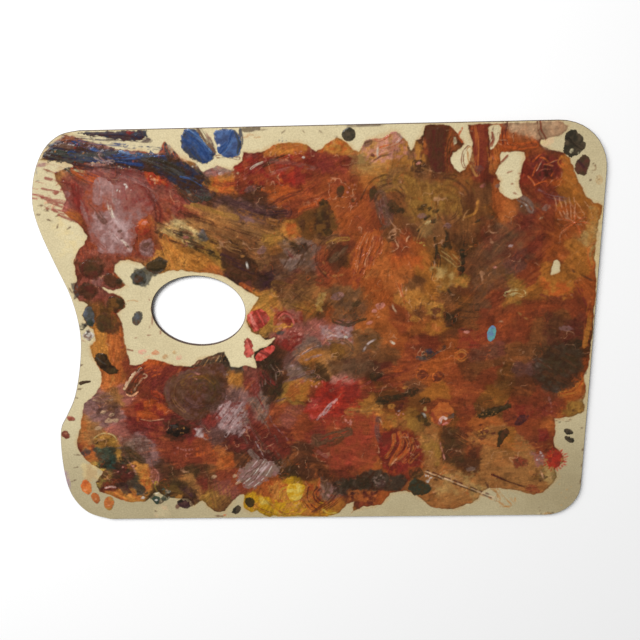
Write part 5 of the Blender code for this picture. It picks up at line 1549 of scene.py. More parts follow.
def mark_lower_middle():
    """Wine, lilac and umber below the swirl, and the drips at the bottom edge."""
    area("lilac", "pale_lilac", [(-96, -72), (-90, -73), (-89, -80), (-94, -80)], 2.5, 0.8, 2)
    area("lilac", "wine", [(-81, -49), (-57, -50), (-56, -71), (-78, -70)], 6, 0.65, 2.0)
    for x, y, length, paint in (
            (-71, -56, 5, "pale_lilac"), (-76, -51, 4, "white"), (-66, -62, 5, "pale_lilac"),
            (-62, -66, 4, "lilac"), (-73, -66, 5, "lilac"), (-60, -56, 4, "lilac"),
            (-69, -75, 4, "pale_lilac"), (-60, -77, 3, "lilac"), (-84, -53, 3, "lilac")):
        sweep(paint, "lilac", 1.3, [(x - 0.7 * length, y - length), (x, y), (x + 0.7 * length, y + length)],
            0.85, 0.45, 0.2)
    for x, y in ((-74, -58), (-67, -66), (-63, -52), (-78, -62), (-58, -63)):
        sweep("wine", "maroon", 0.9, [(x - 3, y - 4), (x, y), (x + 2, y + 4)], 0.75, 0.5, -0.1)
    dab("peach", -82, -57, 2.4, 1.6, 30, 0.8)
    area("wine", "maroon", [(-90, -60), (-78, -60), (-76, -74), (-88, -74)], 4, 0.75)
    for x, y in (
            (-45, -50), (-43, -55), (-40, -60), (-36, -68), (-32, -74), (-50, -78), (-48, -82), (-28, -78)):
        sweep("lilac", "wine", 0.7, [(x - 2, y + 5), (x, y), (x + 3, y - 5)], 0.7, 0.6, 0.1)
    area("maroon", "wine", [(-70, -80), (-30, -80), (-26, -92), (-66, -92)], 5, 0.6)
    area("scarlet", "rose", [(-8, -48), (2, -48), (3, -68), (-6, -68)], 4, 0.65)
    area("olive", "grey_umber", [(-7, -79), (2, -78), (2, -88), (-6, -89)], 3, 0.7)
    specks("orange", 9, -88, -92, 9, 5, 1.1, 111)
    area("orange", "burnt_orange", [(-77, -94), (-67, -94), (-68, -103), (-76, -103)], 3, 0.7)
    area("olive", "umber", [(-101, -102), (-86, -102), (-85, -113), (-99, -114)], 3, 0.75)
    for x, y in ((-67, -113), (-62, -117), (-65, -119), (-83, -113.5), (-59, -114)):
        dab("peach", x, y, 2.0, 1.2, 20, 0.8, 0.2)
    sweep("blue_grey", "grey_lilac", 2.2, [(-54, -92), (-52, -95), (-49, -98)], 0.75, 0.35)
    sweep("pale_lilac", "lilac", 0.6, [(-49, -84), (-46, -92), (-43, -100)], 0.7, 0.55, 0.1)
    for x, y, reach in (
            (-40, -92, 7), (-36, -98, 6), (-44, -88, 5), (-34, -90, 6), (-50, -96, 5), (-30, -100, 5),
            (-46, -60, 8), (-40, -70, 8), (-34, -80, 8), (-52, -70, 7), (-46, -82, 7), (-56, -84, 6)):
        sweep("grey_lilac", "umber", 1.2,
            [(x - 0.5 * reach, y + reach), (x, y), (x + 0.3 * reach, y - reach)], 0.7, 0.6, 0.12)
    for step in range(4):
        sweep("grey_lilac", "umber", 0.8,
            [(-35 + 3 * step, -96), (-33 + 3 * step, -103), (-34 + 3 * step, -110)], 0.5, 0.6)
    for step in range(6):
        line("tan", 0.7, [(-88 + 3 * step, -120), (-87 + 3 * step, -128), (-89 + 3.2 * step, -138)], 0.55)
    sweep("umber", "brown", 5, [(-84, -118), (-83, -130), (-80, -143)], 0.6, 0.4)
    area("pale_yellow", "yellow", [(-51, -130), (-42, -130), (-41, -138), (-49, -138)], 2, 0.8)
    area("gold", "yellow", [(-62, -137), (-50, -137), (-49, -146), (-60, -146)], 2.5, 0.8)
    area("yellow", "gold", [(-40, -134), (-11, -136), (-10, -149), (-40, -149)], 3, 0.85, 3)
    area("orange", "gold", [(-41, -118), (-28, -119), (-27, -136), (-40, -137)], 3, 0.7)
    area("amber", "orange", [(-15, -117), (1, -118), (1, -150), (-14, -150)], 4, 0.7)
    for radius, start, stop, paint in (
            (6, 120, 280, "maroon"), (8.5, 130, 270, "umber"), (11, 140, 250, "gold"),
            (13.5, 150, 240, "maroon"), (16, 160, 230, "amber"), (19, 165, 215, "umber")):
        sweep(paint, "maroon", 1.0, arc(2, -130, radius, start, stop), 0.85, 0.5, 0.2)
    for radius, start, stop, paint in (
            (5, 0, 330, "amber"), (8, 20, 200, "pale_yellow"), (11, 200, 330, "gold"),
            (14, 190, 300, "orange"), (17, 210, 320, "pale_yellow")):
        sweep(paint, "yellow", 1.1, arc(-26, -131, radius, start, stop), 0.8, 0.5, 0.2)
    for points in (
            [(-58, -132), (-50, -141), (-38, -147)], [(-46, -128), (-40, -138), (-30, -147)],
            [(-40, -120), (-38, -128), (-32, -136)]):
        sweep("orange", "umber", 1.0, points, 0.75, 0.5, 0.15)


def mark_lower_right():
    """The red fan of palette-knife strokes, and the tan sheet with its scratches."""
    area("scarlet", "crimson", [(0, -50), (32, -50), (20, -66), (2, -72)], 4, 0.8, 3)
    for step in range(6):
        sweep("pink", "lilac", 0.8, [(-2 + 1.6 * step, -66 + 1.2 * step),
                (2 + 1.6 * step, -60 + 1.2 * step), (6 + 1.4 * step, -55 + step)], 0.75, 0.6, 0.15)
    sweep("gold", "tan", 3.4, [(22, -60), (34, -60), (44, -56)], 0.8, 0.35)
    dab("dark_umber", 28, -60, 1.8, 0.9, 10)
    dab("gold", 54, -56, 3, 2, 10, 0.75)
    area("soft_red", "brick", [(4, -64), (44, -62), (46, -84), (38, -106), (10, -108)], 6, 0.75, 7)
    specks("pink", 9, 21, -68, 4, 3, 1.0, 121)
    sweep("olive", "grey_umber", 3.8, [(-1, -85), (9, -80), (21, -76)], 0.85, 0.3, 0.12)
    sweep("grey_umber", "olive", 2, [(4, -87), (12, -86), (17, -82)], 0.6, 0.4)
    area("rust", "soft_red", [(4, -92), (40, -86), (38, -108), (8, -112)], 7, 0.5, 8)
    sweep("pink", "dusky", 1.4, [(-2, -93), (1, -95), (4, -97)], 0.8, 0.4)
    sweep("slate", "dark_mauve", 2.0, [(44, -66), (43, -75), (45, -84)], 0.75, 0.4)
    line("glint", 0.6, [(45, -66), (46.6, -70), (48, -75)], 0.8, 0.15)
    dab("umber", 49, -75, 1.6, 1.4)
    area("crimson", "red_brown",
        [(46, -76), (60, -76), (72, -82), (79, -92), (76, -106), (60, -112), (46, -106)], 3, 0.85, 4)
    for points in (
            [(60, -78), (62, -86), (58, -95), (53, -104)], [(64, -80), (67, -88), (64, -95), (58, -101)],
            [(69, -83), (71, -90), (68, -97), (64, -102)], [(74, -96), (71, -99), (68, -102)],
            [(56, -80), (55, -90), (50, -98)]):
        sweep("tan", "orange", 1.7, points, 0.85, 0.35, 0.2)
    for points in ([(62, -79), (65, -87), (62, -96)], [(67, -82), (69.6, -90), (66, -98), (63, -103)]):
        line("maroon", 0.7, points, 0.8, -0.1)
    line("glint", 0.6, [(53, -106), (56, -102), (58.6, -99)], 0.85, 0.15)
    area("ochre", "brown", [(50, -64), (84, -64), (78, -78), (56, -74)], 5, 0.55)
    dab("maroon", 60, -58, 3.8, 4.2, 0, 0.85, 0.25)
    dab("lilac", 59.4, -60, 1.2, 0.9)
    specks("pink", 5, 60, -62, 3, 1.5, 0.6, 123)
    for x, y, wide, tall, turn in (
            (51, -50, 11, 3.4, 8), (46, -53, 5, 2.4, 0), (79, -52, 4.6, 2.8, 20), (77, -66, 4, 3.4, 0),
            (81, -71, 3, 2.4, -15), (60, -48, 5, 2, 15)):
        dab("green_black", x, y, wide, tall, turn, 0.85, 0.2)
    area("green_black", "olive", [(117, -67), (121, -60), (133, -57), (142, -53), (140, -60), (128, -65)],
        1.5, 0.85, 2, 0.2)
    line("white", 0.8, [(76, -62), (78, -63), (79.4, -65)], 0.85, 0.15)
    dab("pale_ochre", 79, -58.6, 1.6, 2.4, 0, 0.75)
    area("tan", "ochre", [(76, -80), (90, -80), (91, -104), (80, -106)], 4, 0.8, 6)
    area("umber", "olive", [(92, -74), (108, -76), (110, -106), (94, -104)], 4, 0.75, 5)
    line("pink", 0.6, [(91, -86), (92.6, -94), (95, -101)], 0.7, 0.12)
    for step in range(5):
        sweep("tan", "orange_brown", 2.6,
            [(100 + 12 * step, -78 - 2 * step), (112 + 12 * step, -86 - 2 * step), (126 + 12 * step, -90)],
            0.5, 0.5)
    area("tan", "pale_ochre", [(84, -112), (130, -116), (118, -136), (92, -141)], 6, 0.6, 8)
    long_scratch()
    specks("umber", 8, 90, -117, 5, 2, 0.9, 125)
    specks("white", 10, 81, -117, 4, 4, 0.9, 127)
    sweep("dark_umber", "maroon", 0.9, [(131, -114), (146, -121), (161, -126)], 0.95, 0.25, -0.05)
    dab("rust", 163, -127, 5.4, 3.4, -15, 0.85, 0.2)
    for x, y, wide, tall in (
            (121, -72, 1.2, 0.9), (124, -78, 3, 2.4), (123, -83, 3, 1.8), (116, -86, 1.4, 1),
            (131, -79, 1.6, 1.2), (141, -69, 2, 0.9), (146, -66, 2, 0.8), (163, -87, 1, 0.9),
            (128, -123, 1.2, 2.6)):
        dab("maroon", x, y, wide, tall, 20, 0.85, 0.15)
    specks("gold", 9, 124, -79, 5, 5, 0.8, 129)
    dab("plum", 151, -69, 5, 3.4, 30, 0.9, 0.25)
    for x, y, paint, second in (
            (152, -104, "crimson", "maroon"), (165, -101, "dusky_rose", "mauve"),
            (168, -81, "crimson", "wine")):
        area(paint, second, [(x - 4, y + 5), (x + 4, y + 4), (x + 5, y - 3), (x - 3, y - 5)], 2.5, 0.8, 1.5)
    specks("pale_lilac", 7, 167, -99, 4, 4, 0.7, 131)
    area("ochre", "olive_gold", [(185, -54), (199, -57), (199, -65), (187, -66)], 2.5, 0.8, 1.5)
    specks("umber", 8, 191, -62, 5, 3, 0.9, 133)
    area("olive_gold", "umber", [(165, -110), (172, -110), (172, -121), (164, -120)], 2, 0.6, 1.5)
    line("glint", 0.7, [(168, -110.6), (169, -114), (171, -118)], 0.9, 0.2)
    specks("umber", 9, 168, -116, 6, 5, 0.8, 135)
    for x, y, turn in ((112, -104, 80), (116, -96, 75), (118, -106, 85)):
        dab("umber", x, y, 6, 3, turn, 0.75, 0.15)
    dab("grey_lilac", 115, -109, 3.4, 2, 20, 0.7)
    area("mauve", "grey_umber", [(2, -119), (14, -124), (18, -131), (4, -134)], 3, 0.75, 2.5)
    for step in range(5):
        sweep("grey_lilac", "umber", 1.0,
            [(-1 + 3 * step, -112 - 2 * step), (1 + 3 * step, -122 - step), (-2 + 3 * step, -132)], 0.6,
            0.6, 0.12)
    for step in range(4):
        sweep("orange", "maroon", 1.3, [(17 - 3 * step, -131), (11 - 3 * step, -138), (2 - 3 * step, -145)],
            0.8, 0.45, 0.12)
    sweep("yellow", "pale_yellow", 1.4, [(1, -143), (5, -145), (11, -146)], 0.85, 0.3, 0.15)
    area("dark_umber", "smoke", [(9, -127), (14, -118), (26, -114), (34, -111), (46, -109), (56, -113),
            (64, -113), (67, -120), (60, -129), (50, -126), (40, -128), (28, -129), (18, -130)], 2.5, 0.95,
        2.5, 0.25)
    for x, y, wide, tall in (
            (20, -121, 6, 4), (32, -120, 6, 5), (45, -118, 6, 6), (58, -120, 5, 6), (73, -112, 5, 5)):
        dab("green_black" if x < 40 or x > 70 else "smoke", x, y, wide, tall, 20, 0.75, 0.3)
    dab("dark_mauve", 47, -121, 4.4, 3, 30, 0.7)
    specks("grey_lilac", 26, 45, -118, 6, 5, 0.8, 137)
    area("orange_brown", "maroon", [(20, -128), (48, -126), (40, -138), (24, -137)], 3, 0.7, 3)


# ---------------------------------------------------------------- the dabs, each with its own look

def paint_top_dabs():
    """The blue dabs, the smears and the runs along the top edge, and the mauve patch."""
    make_dab("ultramarine_smear", "dark_umber", "navy", 0.35, 1.9, 2.0,
        (sweep, "plum", "dark_umber", 6, [(-182, 138), (-150, 132), (-110, 124), (-78, 112)], 0.9, 0.4,
            0.1), (sweep, "ultramarine", "blue", 2.0, [(-173, 147), (-156, 139), (-134, 132), (-103, 134)],
            0.9, 0.4, 0.15),
        (sweep, "slate", "dark_green", 2.2, [(-178, 137), (-166, 134), (-150, 134)], 0.8, 0.45),
        (sweep, "navy", "ultramarine", 3.0, [(-166, 134), (-148, 129), (-120, 126)], 0.9, 0.35, 0.12),
        (sweep, "mauve", "grey_umber", 1.6, [(-182, 142), (-173, 140.6), (-164, 139)], 0.8, 0.5),
        (sweep, "smoke", "slate", 3.6, [(-182, 133), (-160, 131), (-136, 136), (-112, 130)], 0.75, 0.5,
            0.12), (sweep, "dusky", "umber", 1.6, [(-158, 140), (-140, 138), (-124, 139)], 0.7, 0.55, 0.1),
        (sweep, "green_black", "slate", 3.0, [(-120, 134), (-106, 126), (-92, 118)], 0.8, 0.45, 0.12),
        (sweep, "ultramarine", "pale_blue", 1.4, [(-132, 136), (-116, 133), (-103, 135)], 0.85, 0.5),
        (sweep, "dark_umber", "green_black", 4, [(-110, 128), (-96, 122), (-82, 112)], 0.85, 0.4, 0.12),
        (sweep, "slate", "blue", 1.0, [(-92, 118), (-84, 116), (-78, 112)], 0.8, 0.5),
        (sweep, "mauve", "umber", 1.2, [(-140, 124), (-126, 121), (-112, 117)], 0.7, 0.55),
        (sweep, "grey_lilac", "mauve", 3.4, [(-146, 133), (-141, 127), (-139, 120)], 0.8, 0.5, 0.12),
        (sweep, "pale_lilac", "grey_lilac", 1.4, [(-150, 131), (-145, 128), (-138, 129)], 0.8, 0.55, 0.12),
        (specks, "tan", 5, -166, 134, 16, 6, 0.5, 201), (specks, "dusky", 5, -120, 127, 26, 7, 0.7, 203),
        (specks, "crimson", 4, -150, 136, 22, 6, 0.7, 205))
    make_dab("umber_edge_smear", "plum", "navy", 0.3, 1.2, 1.0,
        (sweep, "dark_umber", "plum", 1.6, [(-158, 146), (-140, 146), (-116, 145)], 0.9, 0.4, 0.1),
        (sweep, "dark_mauve", "navy", 0.8, [(-150, 147), (-136, 147.4), (-120, 146)], 0.8, 0.5),
        (dab, "crimson", -124, 148, 2.4, 1.2), (dab, "navy", -119, 146, 3, 2))
    make_dab("ultramarine_dab_left", "ultramarine", "navy", 0.6, 1.0, 1.2,
        (sweep, "blue", "ultramarine", 4, [(-87, 146), (-79, 140), (-73, 130)], 0.9, 0.3, 0.25),
        (sweep, "blue", "pale_blue", 1.2, [(-84, 148), (-76, 142), (-70, 134)], 0.85, 0.5, 0.2),
        (sweep, "navy", "ultramarine", 1.4, [(-88, 141), (-82, 134), (-76, 128)], 0.85, 0.4, 0.1),
        (sweep, "pale_blue", "blue", 0.7, [(-80, 147), (-74, 143), (-71, 138)], 0.8, 0.5, 0.1))
    make_dab("ultramarine_dab_right", "ultramarine", "blue", 0.7, 1.0, 1.2,
        (sweep, "blue", "ultramarine", 3, [(-64, 134), (-58, 140), (-55, 147)], 0.9, 0.35, 0.25),
        (sweep, "pale_blue", "blue", 1.0, [(-62, 133), (-57, 138), (-54, 144)], 0.8, 0.5, 0.2),
        (sweep, "navy", "slate", 1.5, [(-51, 133), (-50, 140), (-52, 148)], 0.9, 0.35, 0.1),
        (dab, "white", -64, 138, 0.9, 0.7))
    make_dab("mauve_patch", "mauve", "dusky", 0.22, 1.6, 5.0,
        (area, "dusky", "brick", [(-164, 118), (-140, 118), (-140, 96), (-160, 92)], 5, 0.75, 3),
        (area, "mauve", "lilac", [(-156, 92), (-134, 94), (-130, 68), (-152, 66)], 6, 0.8, 3.5),
        (sweep, "lilac", "mauve", 3.5, [(-151, 118), (-150, 110), (-151, 102)], 0.8, 0.5, 0.1),
        (area, "mauve", "lilac", [(-148, 121), (-128, 118), (-122, 100), (-130, 84), (-146, 96)], 8, 0.55,
            6), (sweep, "grey_lilac", "lilac", 3, [(-141, 122), (-137, 112), (-138, 102)], 0.75, 0.5, 0.1),
        # The ivory streak is a painted highlight on a ridge of paint.
        (sweep, "ivory", "lilac", 1.4, [(-144, 101), (-143, 95), (-141, 90)], 0.9, 0.35, 0.15),
        (sweep, "crimson", "wine", 1.6, [(-164, 108), (-160, 100), (-158, 90)], 0.75, 0.5),
        (sweep, "wine", "maroon", 2.6, [(-119, 112), (-112, 98), (-113, 84)], 0.8, 0.35),
        (sweep, "rust", "umber", 3, [(-157, 101), (-152, 94), (-148, 88)], 0.7, 0.5),
        (area, "dusky", "wine", [(-138, 118), (-116, 118), (-114, 96), (-136, 98)], 5, 0.7, 3),
        (sweep, "pale_lilac", "lilac", 1.6, [(-140, 88), (-137, 84), (-133, 82)], 0.8, 0.4, 0.12),
        (sweep, "pale_lilac", "mauve", 1.2, [(-145, 80), (-141, 76), (-139, 71)], 0.8, 0.5, 0.12),
        (sweep, "ivory", "lilac", 1.0, [(-137, 74), (-134, 71), (-132, 67)], 0.8, 0.45, 0.12),
        (sweep, "lilac", "dusky", 2.0, [(-157, 78), (-154, 73), (-150, 69)], 0.8, 0.45, 0.1),
        (dab, "umber", -138, 80, 1.6, 1.1, 30), (dab, "umber", -137, 75, 1.2, 0.9),
        (dab, "umber", -133, 69, 1.4, 1.0), (specks, "white", 8, -132, 111, 6, 4, 0.8, 207),
        (specks, "crimson", 9, -126, 106, 9, 7, 1.0, 209))
    make_dab("mauve_tail_dab", "mauve", "dark_mauve", 0.35, 1.0, 2.5,
        (dab, "umber", -120, 70, 2.4, 1.8),
        (sweep, "lilac", "mauve", 0.9, [(-124, 66), (-120, 64), (-117, 67)], 0.8, 0.5))
    make_dab("black_dab_upper", "black", "smoke", 0.7, 0.4, 0.5)
    make_dab("umber_runoff", "umber", "maroon", 0.3, 1.0, 2.0,
        (sweep, "maroon", "umber", 1.6, [(79, 147), (81, 134), (80, 120)], 0.8, 0.4, 0.1),
        (sweep, "dark_umber", "umber", 2.4, [(86, 146), (85, 134), (86, 120)], 0.8, 0.4, 0.1))
    make_dab("red_brown_runoff", "red_brown", "rust", 0.3, 1.0, 2.0,
        (sweep, "rust", "orange_brown", 1.4, [(110, 147), (111, 134), (111, 120)], 0.8, 0.4, 0.1),
        (dab, "dark_mauve", 113, 119, 3, 2.2, 0, 0.7))
    make_dab("black_blot_right", "black", "smoke", 0.3, 1.5, 0.5,
        (specks, "cream", 5, 178, 129, 4, 2, 0.9, 211),
        (sweep, "smoke", "black", 1.4, [(172, 138), (177, 134), (182, 131)], 0.7, 0.5))
    make_dab("maroon_blot_right", "dark_umber", "maroon", 0.3, 1.2, 0.6,
        (sweep, "maroon", "plum", 1.2, [(180, 122), (183, 119), (186, 115)], 0.8, 0.5))


def paint_left_dabs():
    """The lobes and dabs down the left side, around the finger notch and the thumb hole."""
    make_dab("umber_lobe_first", "umber", "dark_umber", 0.5, 1.8, 3.0,
        (area, "olive", "umber", [(-167, 59), (-157, 59), (-157, 52), (-166, 52)], 3, 0.6),
        (dab, "maroon", -161, 49, 5, 2.4, 20, 0.7),
        (sweep, "dusky", "umber", 1.6, [(-170, 60), (-162, 61), (-154, 58)], 0.6, 0.5, 0.1),
        (sweep, "dark_umber", "maroon", 1.4, arc(-161, 53, 6, 120, 300), 0.7, 0.5, 0.12))
    make_dab("umber_lobe_second", "dark_umber", "umber", 0.55, 1.6, 2.2,
        (dab, "umber", -149, 46, 4, 3, 20, 0.8), (dab, "green_black", -142, 44, 2.6, 2.4))
    make_dab("umber_lobe_third", "umber", "dark_umber", 0.45, 1.7, 2.6,
        (dab, "maroon", -163, 38, 4, 3, -20, 0.8),
        (sweep, "dark_mauve", "umber", 1.2, [(-171, 34), (-165, 35), (-160, 33)], 0.7, 0.5))
    make_dab("umber_lobe_fourth", "umber", "olive_brown", 0.45, 1.6, 2.8,
        (sweep, "rust", "burnt_orange", 1.2, [(-149, 20), (-149, 12), (-148, 5)], 0.7, 0.5, 0.12),
        (area, "dark_umber", "olive", [(-162, 18), (-152, 19), (-150, 8), (-160, 6)], 3, 0.7, 2.5),
        (dab, "olive", -159, 9, 3, 4, 10, 0.85))
    make_dab("olive_lobe", "olive_brown", "dark_umber", 0.5, 1.5, 2.0,
        (area, "green_black", "olive", [(-145, 33), (-140, 31), (-141, 23), (-146, 24)], 2, 0.85))
    make_dab("slate_dab_left", "slate", "blue_grey", 0.4, 0.9, 1.2,
        (dab, "dark_green", -166, 13, 3, 2.4), (dab, "blue_grey", -169, 20, 2, 2.6, 20, 0.8))
    make_dab("slate_dab_centre", "green_black", "slate", 0.45, 0.9, 1.0,
        (dab, "umber", -128, 46, 3.6, 2.8, 20, 0.85), (dab, "slate", -131, 49, 1.8, 1.2))
    make_dab("olive_dab_centre", "green_black", "olive", 0.5, 0.8, 1.2,
        (sweep, "olive_brown", "olive", 1.2, [(-119, 57), (-113, 56), (-108, 54)], 0.8, 0.45, 0.1))
    make_dab("blue_grey_dab", "slate", "umber", 0.35, 0.9, 0.8,
        (dab, "blue_grey", -131.6, 17, 1.6, 2.4, 0, 0.7))
    make_dab("black_dab_thumb", "black", "green_black", 0.7, 0.7, 1.0,
        (sweep, "smoke", "slate", 0.6, [(-164, -14), (-161, -17), (-158, -19)], 0.6, 0.5, 0.15),
        (dab, "olive", -152.6, -24.6, 2.6, 2.2, -40, 0.85))
    make_dab("white_dab_edge", "grey_lilac", "white", 0.25, 1.3, 1.2,
        (dab, "white", -168, 4, 2.2, 1.8, 20, 0.8), (specks, "black", 8, -171, 6, 3.6, 2, 0.9, 213))
    make_dab("black_tick", "dark_umber", "black", 0.25, 0.4, 0.4)
    make_dab("orange_dab_centre", "burnt_orange", "orange", 0.5, 1.5, 2.0,
        (area, "crimson", "rust", [(-127, 83), (-116, 82), (-118, 76), (-126, 76)], 2.4, 0.85, 2),
        (dab, "pink", -120, 86, 2.6, 1.2, 20, 0.7), (dab, "orange", -122, 83, 2.4, 1.6, 20, 0.6))
    make_dab("peeled_skin", "rust", "umber", 0.8, 1.6, 2.0,
        # The orange crests, the ivory strokes and the glint are painted highlights on the peeled edge; the
        # dark umber stroke beside them is a painted shadow.
        (wrinkles, "orange", 55, [(-150, -20), (-128, -20), (-128, -48), (-150, -48)], 2.4, 0.7, 0.4),
        (sweep, "ivory", "peach", 1.2, [(-146, -39), (-142, -32), (-137, -26)], 0.85, 0.55, 0.35),
        (sweep, "ivory", "pink", 1.0, [(-138, -31), (-135, -26), (-132, -23)], 0.85, 0.5, 0.35),
        (sweep, "tan", "orange", 1.2, [(-147, -33), (-141, -24), (-132, -21)], 0.85, 0.5, 0.3),
        (sweep, "dark_umber", "maroon", 1.2, [(-143, -40), (-138, -32), (-131, -25)], 0.85, 0.4, -0.1),
        (sweep, "orange", "glint", 0.8, [(-146, -43), (-141, -45), (-136, -42)], 0.8, 0.45, 0.25),
        (sweep, "peach", "rust", 0.7, [(-141, -46), (-137, -38), (-132, -31)], 0.8, 0.5, 0.25))
    # Each small dab gets a pale touch near its corner: a glint, a painted highlight, and on the upper edge
    # dab a pink one.
    for node, paint, second in (
            ("red_brown_dab_edge_upper", "rust", "dusky_rose"),
            ("red_brown_dab_edge_lower", "rust", "red_brown"),
            ("orange_dab_corner_upper", "bright_orange", "orange"),
            ("orange_dab_corner_middle", "orange_brown", "burnt_orange"),
            ("orange_dab_corner_lower", "ochre", "orange_brown")):
        make_dab(node, paint, second, 0.45, 0.7, 0.9,
            (dab, "pink" if "edge_upper" in node else "glint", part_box(node)[0].x / MM + 3,
                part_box(node)[0].y / MM + 4, 1.4, 0.8, 20, 0.4))


def paint_centre_dabs():
    """The thick patches in the middle of the palette."""
    rings = []
    for paint, second, wide, x, y, radius, start, stop, cover in (
            ("dark_mauve", "grey_umber", 3.0, -94, -44, 19, 100, 250, 0.6),
            ("umber", "grey_umber", 2.4, -92, -42, 17, 10, 130, 0.6),
            ("grey_umber", "umber", 1.6, -95, -46, 17, 200, 310, 0.5),
            ("umber", "olive_brown", 2.6, -88, -42, 12, -40, 110, 0.6),
            ("dark_umber", "plum", 2.6, -91, -43, 13, 150, 300, 0.6),
            ("olive_gold", "olive", 2.6, -87, -40, 8, 0, 200, 0.75),
            ("olive_brown", "olive_gold", 2.2, -90, -42, 14, 30, 150, 0.7),
            ("grey_umber", "tan_brown", 1.2, -94, -44, 16, 110, 240, 0.6),
            ("red_brown", "umber", 2.2, -92, -40, 8, 120, 260, 0.5),
            ("olive_gold", "olive", 1.6, -86, -40, 4, 20, 230, 0.5),
            ("green_black", "dark_umber", 2.4, -84, -44, 12, -80, 10, 0.6)):
        rings.append((sweep, paint, second, wide, arc(x, y, radius, start, stop), cover, 0.5, 0.15))
    make_dab("umber_swirl", "umber", "dark_mauve", 0.5, 1.8, 3.5,
        *rings, (area, "dark_umber", "olive", [(-82, -28), (-68, -34), (-74, -52), (-90, -60), (-86, -40)],
            5, 0.6, 4),
        (area, "grey_umber", "umber", [(-114, -38), (-100, -28), (-92, -36), (-104, -54)], 5, 0.5, 3),
        (line, "pink", 0.6, [(-92, -27), (-90, -28.4), (-88, -28)], 0.85, 0.1),
        (line, "pink", 0.6, [(-92, -31.4), (-90, -32.4), (-88, -32)], 0.85, 0.1))
    make_dab("rose_daub_upper", "rose", "crimson", 0.5, 1.3, 1.2,
        (area, "crimson", "dusky", [(-43, 20), (-36, 17), (-38, 6), (-44, 8)], 2, 0.7, 2),
        (sweep, "rose", "pink", 1.4, [(-49, 17), (-47, 12), (-44, 7)], 0.85, 0.4, 0.2),
        (sweep, "scarlet", "rose", 1.2, [(-44, 19), (-41, 13), (-39, 7)], 0.8, 0.45, 0.15))
    make_dab("rose_daub_side", "rose", "crimson", 0.45, 1.2, 1.0,
        (sweep, "pink", "rose", 0.9, [(-52, -3), (-51, -8), (-49, -14)], 0.8, 0.4, 0.15),
        (dab, "crimson", -49, -5, 1.6, 3, 10, 0.8))
    make_dab("rose_daub_lower", "rose", "scarlet", 0.5, 1.2, 1.2,
        (sweep, "crimson", "maroon", 1.6, [(-46, -9), (-40, -12), (-34, -16)], 0.8, 0.4, 0.15),
        (sweep, "pink", "rose", 0.9, [(-44, -13), (-40, -16), (-36, -17)], 0.8, 0.45, 0.15))
    make_dab("umber_patch_centre", "umber", "dark_umber", 0.3, 1.4, 3.0,
        (sweep, "olive_brown", "tan_brown", 1.6, [(-64, 69), (-60, 66), (-54, 64)], 0.8, 0.45, 0.15),
        (sweep, "tan", "olive_brown", 1.0, [(-61, 70), (-57, 68), (-52, 67)], 0.75, 0.5, 0.1),
        (sweep, "dark_umber", "plum", 3, [(-66, 60), (-56, 56), (-46, 50)], 0.8, 0.45, 0.12),
        (sweep, "olive", "umber", 2.4, [(-62, 52), (-54, 48), (-46, 45)], 0.75, 0.45, 0.12),
        # The white tick is a painted highlight.
        (line, "white", 0.8, [(-49.6, 56), (-49, 54), (-48.6, 52)], 0.9, 0.1),
        (dab, "tan", -52, 61, 1.4, 0.8))
    make_dab("olive_patch_upper", "dark_umber", "olive_brown", 0.25, 1.6, 3.4,
        (dab, "green_black", 6, 98, 3.4, 2.4, 20, 0.8), (dab, "umber", 12, 93, 3, 3.4, 0, 0.8),
        (dab, "green_black", 10, 77, 4, 2.6, 10, 0.8), (dab, "olive", 4, 88, 3, 4, 10, 0.5))
    make_dab("olive_spot_left", "umber", "olive", 0.3, 0.8, 1.2)
    make_dab("olive_spot_centre", "umber", "olive", 0.3, 0.8, 1.4)
    # Strands of glint and orange along the folds are painted highlights; the dark sunk creases between them
    # are painted shade.
    highlight_strands = [(sweep, "glint" if strand % 3 else "orange", "burnt_orange", 0.5, [
                (24 + 2.4 * strand, 38 + 5 * (strand % 4)), (27 + 2.0 * strand, 52 + 3 * (strand % 3)),
                (29 + 2.2 * strand, 62 + 4 * (strand % 2)), (35 + 1.5 * strand, 78 - 0.7 * strand)], 0.9,
            0.5, 0.35) for strand in range(10)]
    shaded_creases = [(sweep, "rust", "maroon", 0.6,
            [(28 + 3 * crease, 44 + 3 * crease), (31 + 3 * crease, 56 + crease), (34 + 3 * crease, 70)],
            0.7, 0.5, -0.2) for crease in range(5)]
    make_dab("wrinkled_skin", "burnt_orange", "rust", 0.4, 2.0, 4.5,
        (sweep, "orange_brown", "burnt_orange", 4, [(29, 54), (34, 64), (42, 76)], 0.6, 0.5, 0.1),
        (sweep, "brick", "burnt_orange", 3, [(34, 46), (40, 56), (46, 66)], 0.6, 0.5, 0.1), (wrinkles,
            "orange", 62, [(24, 50), (30, 72), (44, 80), (50, 70), (46, 48), (34, 34)], 2.2, 0.7, 0.45),
        *highlight_strands, *shaded_creases)
    make_dab("teal_chip", "teal", "pale_blue", 0.4, 0.3, 0.4)


